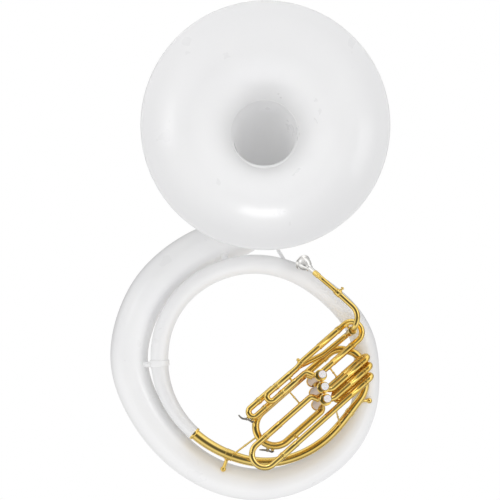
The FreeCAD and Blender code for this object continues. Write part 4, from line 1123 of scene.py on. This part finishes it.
piece("top_cap_set", joined([top_cap(n) for n in THREE]), BRASS, "horn", "top_caps")
piece("bottom_cap_set", joined([bottom_cap(n) for n in THREE]), BRASS, "horn", "bottom_caps")
piece("cap_felt_set", joined([felt_ring(n) for n in THREE]), FELT, "horn", "cap_felts")

PEARL_R = 10.38
for number in THREE:
    name, place, body = str(number), valve_point(number, 0), "valve_" + str(number)
    barrel = [(-72.0, 12.8), (-71.4, 13.5), (24.2, 13.5), (25.0, 12.6)]
    piston = lathe(barrel, place, VALVE_AXIS, 64)
    piece("piston_" + name + "_body", piston, NICKEL, body, "piston_" + name)
    button = [
        (25.0, 3.0), (65.0, 3.0), (65.3, 3.8), (65.4, 8.6), (65.8, 10.6), (66.5, 11.4),
        (67.4, 11.6), (68.9, 11.5), (69.3, 11.2), (69.3, 10.55), (68.4, 10.45), (66.8, 10.4),
    ]
    cup = lathe(button, place, VALVE_AXIS, 64)
    piece("button_" + name + "_cup", cup, BRASS, body, "finger_button_" + name)
    dome = [(66.8, PEARL_R), (69.0, PEARL_R)]
    for t in np.linspace(math.pi / 2, 0, 12):
        dome.append((69.0 + 1.3 * math.cos(t), PEARL_R * math.sin(t)))
    pearl = lathe(dome, place, VALVE_AXIS, 56)
    piece("pearl_" + name + "_disc", pearl, PEARL, body, "pearl_" + name)


def spring_shape(number):
    turns, bottom, length = 7, -103.4, 30.7
    steps = turns * 24
    points = []
    for k in range(steps + 1):
        t = 2 * math.pi * turns * k / steps
        across = unit(ACROSS_AXIS) * math.sin(t) + SLIDE_AXIS * math.cos(t)
        points.append(valve_point(number, bottom + length * k / steps) + across * 9.0)
    path = Path(points)
    return sweep(path, [(0, 0.6), (path.length, 0.6)], 10)


springs = []
for number in THREE:
    springs.append(piece("valve_spring_" + str(number), spring_shape(number), STEEL, "horn"))
for number, spring in zip(THREE, springs):
    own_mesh(spring)
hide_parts("piston_springs")


# ------------ tubes of the valve block
def block_tube(corners, bends, start_valve=None, end_valve=None, radius=TUBE_R):
    """A tube through block points; a valve number at an end solders it to that casing."""
    path = Path(rounded_path([at(*corner) for corner in corners], bends))
    first = CASING_REACH if start_valve else 0.0
    last = path.length - (CASING_REACH if end_valve else 0.0)
    start_on = casing_cut(start_valve) if start_valve else None
    end_on = casing_cut(end_valve) if end_valve else None
    shapes = [sweep(path, [(first, radius), (last, radius)], 36, start_on=start_on, end_on=end_on)]
    if start_valve:
        shapes.append(braze(path, first, -1, radius, start_valve))
    if end_valve:
        shapes.append(braze(path, last, 1, radius, end_valve))
    return joined(shapes)


def crossover(upper, lower, level):
    corners = [(VALVE_STEP[0] * (2 - n), VALVE_STEP[1] * (2 - n), level) for n in (upper, lower)]
    return block_tube(corners, [], upper, lower)


VALVE_1, VALVE_3 = VALVE_STEP, (-VALVE_STEP[0], -VALVE_STEP[1])
knuckles = [
    crossover(1, 2, -48.0),
    crossover(2, 3, -40.0),
    block_tube(
        [into_sleeve(MAIN, 1), (0, *MAIN[1]), (*VALVE_1, LEAD_LEVEL)], [13.0], end_valve=1
    ),
]
piece("valve_knuckle_tubes", joined(knuckles), BRASS, "horn", "valve_knuckles")

JOG_KNOB = [(8.0, 5.0), (9.0, 4.6)] + ball_rows(12.0, 5.0, 2.3, 12)
jog_ring = straight(at(0.0, 89.7, 0.0), at(12.0, 91.8, 0.0))
first_tubes = [
    block_tube(
        [into_sleeve(FIRST_LOW, 1), (0, *FIRST_LOW[1]), (*VALVE_1, 0)], [13.0], end_valve=1
    ),
    block_tube([
        into_sleeve(FIRST_LOW, 0), (-12.0, *FIRST_LOW[0]), (14.0, *FIRST_UP[0]),
        into_sleeve(FIRST_UP, 0),
    ], [60.0] * 2),
    block_tube([(17.2, *FIRST_UP[1]), into_sleeve(FIRST_UP, 1)], [], start_valve=1),
    sweep(jog_ring, collar_profile(6.0, 5.0, 8.4, 10.0), 40),
    lathe(JOG_KNOB, at(6.0, 90.8, 0.0), ACROSS_AXIS, 32),
]
piece("first_loop_tubes", joined(first_tubes), BRASS, "horn", "first_loop")
second_tubes = [
    block_tube([(0, 0, 8.0), (22.0, *SECOND[1]), into_sleeve(SECOND, 1)], [20.0], 2),
    block_tube([(0, 0, -14.0), (20.0, *SECOND[0]), into_sleeve(SECOND, 0)], [20.0], 2),
]
piece("second_loop_tubes", joined(second_tubes), BRASS, "horn", "second_loop")
third_tubes = [
    block_tube([(*VALVE_3, 0), (-34.0, *THIRD_LOW[0]), into_sleeve(THIRD_LOW, 0)], [13.0], 3),
    block_tube([into_sleeve(THIRD_LOW, 1), into_sleeve(THIRD_UP, 1)], []),
    block_tube([
        into_sleeve(THIRD_UP, 0), (17.0, *THIRD_UP[0]), (17.0, *THIRD_MID[0]),
        into_sleeve(THIRD_MID, 0),
    ], [12.6, 12.6]),
    block_tube([(*VALVE_3, 8.0), (12.0, *THIRD_MID[1]), into_sleeve(THIRD_MID, 1)], [20.0], 3),
]
piece("third_loop_tubes", joined(third_tubes), BRASS, "horn", "third_loop")


def slide_sleeve(across, level, start, end):
    way = math.copysign(1.0, end - start)
    length = abs(end - start)
    rows = [
        (0, TUBE_R - 0.2), (0, SLEEVE_R - 0.2), (0.5, SLEEVE_R + 0.35), (2.6, SLEEVE_R + 0.35),
        (3.2, SLEEVE_R), (length - 6.4, SLEEVE_R), (length - 5.6, SLEEVE_R + 0.2),
        (length - 4.8, RING_R), (length - 3.4, RING_R), (length - 2.9, RING_R - 0.45),
        (length - 2.3, RING_R - 0.45), (length - 1.8, RING_R), (length - 0.5, RING_R),
        (length, RING_R - 0.5), (length, LEG_R + 0.05), (length - 30.0, LEG_R + 0.05),
    ]
    return lathe(rows, at(start, across, level), SLIDE_AXIS * way, 48)


sleeves = []
for far, near, start, end, centre in ALL_SLIDES:
    for across, level in (far, near):
        sleeves.append(slide_sleeve(across, level, start, end))
piece("slide_sleeve_set", joined(sleeves), BRASS, "horn", "slide_sleeves")


def slide_path(slide):
    far, near, start, end, centre = slide
    way = math.copysign(1.0, end - start)
    spacing = float(np.linalg.norm(at(0, *far) - at(0, *near)))
    bend = spacing / 2 - 0.01
    tip = end - way * 48.0
    reach = centre + way * bend
    corners = [at(tip, *far), at(reach, *far), at(reach, *near), at(tip, *near)]
    return Path(rounded_path(corners, [bend, bend]))


def slide_bow(slide):
    """Two inner legs, a beaded ferrule on each and the bow between them."""
    path = slide_path(slide)
    half = [
        (0, LEG_R - 0.4), (0.4, LEG_R), (49.0, LEG_R), (49.0, 9.3), (49.5, 9.8), (51.0, 9.8),
        (51.5, 9.35), (53.2, 9.35), (53.7, 9.8), (54.6, 9.8), (55.2, TUBE_R + 0.1),
    ]
    rows = half + [(path.length - s, r) for s, r in half[::-1]]
    return sweep(path, rows, 40)


main_shapes = [slide_bow(MAIN), MAIN_KEY.nipple()] + MAIN_KEY.saddle()
piece("main_slide_tube", joined(main_shapes), BRASS, "main_slide", "main_slide")
SLIDE_NODES = (
    "first_lower_slide", "first_upper_slide", "second_slide",
    "third_lower_slide", "third_middle_slide", "third_upper_slide",
)
for slide, node in zip(ALL_SLIDES[1:], SLIDE_NODES):
    piece(node + "_tube", slide_bow(slide), BRASS, node, node)

for key, name, base in ((MAIN_KEY, "main_key", "main_slide"), (EXIT_KEY, "exit_key", "horn")):
    piece(name + "_arm", joined(key.arm() + [key.cup()]), AGED, name, name + "_lever")
    piece(name + "_pad", key.cork(), CORK, name, name + "_cork")
    piece(name + "_axle", key.pin(), STEEL, base, name + "_pin")
    piece(name + "_wire", key.spring(), STEEL, base)


# ------------ stays
def thin_stay(start, end, start_surface, end_surface, radius=2.4, foot=4.6):
    return flared_post(start, end, start_surface, end_surface, radius, foot, 2.4, 32, bead=0.9)


def lug(root, knob, deep, tube_centre, tube_surface, arm_radius, foot_radius):
    """A turned knob screwed to the big branch, with an arm soldered to a brass tube."""
    height = float(np.linalg.norm(knob - root))
    rows = [
        (deep - 3.0, 9.6), (deep, 9.4), (deep + 1.4, 8.8), (deep + 1.8, 6.8), (height - 5.6, 6.2)
    ]
    rows += ball_rows(height, 8.0, 2.3, 16)
    arm = float(np.linalg.norm(knob - tube_centre))
    swell = (foot_radius + arm_radius) / 2
    foot = [
        (tube_surface - 3.0, foot_radius + 0.1), (tube_surface, foot_radius),
        (tube_surface + 1.6, foot_radius - 0.5), (tube_surface + 3.0, swell),
        (tube_surface + 5.5, arm_radius), (arm - 9.0, arm_radius), (arm - 5.0, arm_radius + 0.7),
    ]
    return joined(
        [lathe(rows, root, knob - root, 40), lathe(foot, tube_centre, knob - tube_centre, 32)]
    )


BOW_SIDE = COIL_START - COIL_WAY * 41.0
ring_stays = [
    lug(
        ring_point(468, 352, 44), vec(-99.5, 2, -304), 44.5, ring_point(108, 273, -14), 13.8, 5.0,
        9.0
    ),
    lug(ring_point(379, 327, 33), vec(318.2, -11, -107), 35.5, BOW_SIDE, 10.2, 3.6, 6.5),
    thin_stay(at(-208.0, 16.0, EXIT_LEVEL), ring_point(106, 274, -14), 10.0, 14.0, 2.6, 6.0),
    sweep(COIL, collar_profile(coil_s(4) - 2.0, 11.0, 13.6, 15.6), 64),
]
piece("ring_stay_set", joined(ring_stays), BRASS, "horn", "ring_stays")
block_stays = [
    thin_stay(at(-46.0, *FIRST_LOW[0]), at(-46.0, *FIRST_LOW[1]), 8.8, 8.8),
    thin_stay(at(-72.0, *FIRST_LOW[1]), at(-72.0, *THIRD_LOW[0]), 8.8, 8.0),
    thin_stay(at(60.0, *FIRST_UP[1]), at(60.0, *SECOND[0]), 8.0, 8.0),
    thin_stay(at(-134.0, EXIT_LOW, EXIT_LEVEL), at(-134.0, *THIRD_LOW[1]), 10.0, 8.0),
    thin_stay(at(-4.0, *THIRD_LOW[1]), ring_point(37, 293, -19), 8.0, 11.8, 2.4, 6.0),
]
piece("block_stay_set", joined(block_stays), BRASS, "horn", "block_stays")


# ------------ floor, light and camera
# Grey levels of the room, by height and by how nearly a direction points at the dark space
DARK_SPACE = unit([-0.22, -0.92, 0.30])
SPACE_STOPS = [
    (-1.0, 0.70), (-0.5, 0.40), (-0.1, 0.70), (0.3, 1.0), (0.62, 0.95), (0.86, 0.20), (1.0, 0.10)
]
HEIGHT_STOPS = [(-1.0, 0.42), (-0.3, 0.95), (0.1, 0.55), (0.5, 1.0), (1.0, 1.0)]
SOFT_STOPS = [(-1.0, 1.0), (0.0, 0.92), (1.0, 0.72)]
SOFT_STRENGTH = 0.55
GLOSS_STRENGTH = 1.25


def grey_ramp(tree, value, stops):
    """A colour ramp from -1 to 1 with grey levels at the given places."""
    span = tree.nodes.new("ShaderNodeMapRange")
    span.inputs[1].default_value = -1.0
    tree.links.new(value, span.inputs[0])
    node = tree.nodes.new("ShaderNodeValToRGB")
    tree.links.new(span.outputs[0], node.inputs[0])
    ramp = node.color_ramp
    ramp.elements.remove(ramp.elements[1])
    for index, (place, grey) in enumerate(stops):
        stop = ramp.elements[0] if index == 0 else ramp.elements.new((place + 1) / 2)
        stop.position = (place + 1) / 2
        stop.color = (grey, grey, grey, 1)
    return node.outputs[0]


def studio_world():
    """White to the camera, an even room for soft light, one with dark flags for reflections."""
    world = bpy.data.worlds.new("studio")
    bpy.context.scene.world = world
    world.cycles.sampling_method = "NONE"
    world.use_nodes = True
    tree = world.node_tree
    coords = tree.nodes.new("ShaderNodeTexCoord")
    split = tree.nodes.new("ShaderNodeSeparateXYZ")
    tree.links.new(coords.outputs["Generated"], split.inputs[0])
    towards = tree.nodes.new("ShaderNodeVectorMath")
    towards.operation = "DOT_PRODUCT"
    towards.inputs[1].default_value = tuple(DARK_SPACE)
    tree.links.new(coords.outputs["Generated"], towards.inputs[0])
    depth = grey_ramp(tree, towards.outputs["Value"], SPACE_STOPS)
    height = grey_ramp(tree, split.outputs["Z"], HEIGHT_STOPS)
    soft = grey_ramp(tree, split.outputs["Z"], SOFT_STOPS)
    flags = tree.nodes.new("ShaderNodeMix")
    flags.data_type = "RGBA"
    flags.blend_type = "MULTIPLY"
    flags.inputs[0].default_value = 1.0
    tree.links.new(depth, flags.inputs[6])
    tree.links.new(height, flags.inputs[7])
    rays = tree.nodes.new("ShaderNodeLightPath")

    def backdrop(colour, strength):
        node = tree.nodes.new("ShaderNodeBackground")
        node.inputs["Strength"].default_value = strength
        if colour is not None:
            tree.links.new(colour, node.inputs["Color"])
        else:
            node.inputs["Color"].default_value = (1, 1, 1, 1)
        return node.outputs[0]

    def switch(kind, off, on):
        node = tree.nodes.new("ShaderNodeMixShader")
        tree.links.new(rays.outputs[kind], node.inputs[0])
        tree.links.new(off, node.inputs[1])
        tree.links.new(on, node.inputs[2])
        return node.outputs[0]

    room = switch(
        "Is Glossy Ray", backdrop(soft, SOFT_STRENGTH), backdrop(flags.outputs[2], GLOSS_STRENGTH)
    )
    room = switch("Is Camera Ray", room, backdrop(None, 1.0))
    tree.links.new(room, tree.nodes["World Output"].inputs["Surface"])


def soft_light(name, place, target, width, height, power, shiny=True):
    data = bpy.data.lights.new(name, "AREA")
    data.shape = "RECTANGLE"
    data.size, data.size_y, data.energy = width, height, power
    lamp = bpy.data.objects.new(name, data)
    lamp.location = place
    aim = unit(np.array(target) - np.array(place))
    lamp.rotation_euler = Vector(aim).to_track_quat("-Z", "Y").to_euler()
    lamp.visible_glossy = shiny
    bpy.context.scene.collection.objects.link(lamp)
    return lamp


def paper_floor():
    """A wide, evenly lit white sheet below the horn, left out of reflections."""
    verts = vec(0, 0, 0) + np.array(
        [[-6, -6, -1.1], [6, -6, -1.1], [6, 6, -1.1], [-6, 6, -1.1]]
    ) * 1000.0
    mesh = bpy.data.meshes.new("floor")
    mesh.from_pydata((verts * MM).tolist(), [], [(0, 1, 2, 3)])
    floor = bpy.data.objects.new("floor", mesh)
    bpy.context.scene.collection.objects.link(floor)
    material = bpy.data.materials.new("paper")
    material.use_nodes = True
    tree = material.node_tree
    glow = tree.nodes.new("ShaderNodeEmission")
    clear = tree.nodes.new("ShaderNodeBsdfTransparent")
    rays = tree.nodes.new("ShaderNodeLightPath")
    mix = tree.nodes.new("ShaderNodeMixShader")
    tree.links.new(rays.outputs["Is Glossy Ray"], mix.inputs[0])
    tree.links.new(glow.outputs[0], mix.inputs[1])
    tree.links.new(clear.outputs[0], mix.inputs[2])
    tree.links.new(mix.outputs[0], tree.nodes["Material Output"].inputs["Surface"])
    mesh.materials.append(material)


studio_world()
paper_floor()
soft_light("overhead", (0.1, -1.1, 2.6), (0.0, 0.0, 0.4), 0.9, 0.5, 6)
soft_light("front", (0.0, -5.2, 0.9), (0.0, 0.0, 0.4), 1.6, 1.6, 24, shiny=False)
soft_light("top_front", (0.0, -2.6, 3.2), (0.0, 0.0, 0.6), 1.2, 1.0, 14, shiny=False)
soft_light("side_left", (-3.0, -2.8, 0.7), (0.0, 0.0, 0.5), 1.2, 1.6, 10.5, shiny=False)
soft_light("side_right", (3.0, -2.8, 0.7), (0.0, 0.0, 0.5), 1.2, 1.6, 10.5, shiny=False)
soft_light("front_left", (-2.6, -3.0, 1.6), (0.0, 0.0, 0.2), 1.0, 1.6, 8)
soft_light("front_right", (2.8, -2.6, 0.9), (0.0, 0.0, 0.1), 0.8, 1.4, 6)

camera_data = bpy.data.cameras.new("camera")
camera_data.sensor_width = 36.0
camera_data.lens = 100.5
camera = bpy.data.objects.new("camera", camera_data)
camera.location = (-0.0229, -4.0, 0.3239)
camera.rotation_euler = (math.pi / 2, 0, 0)
bpy.context.scene.collection.objects.link(camera)
bpy.context.scene.camera = camera
bpy.context.scene.view_settings.view_transform = "Standard"
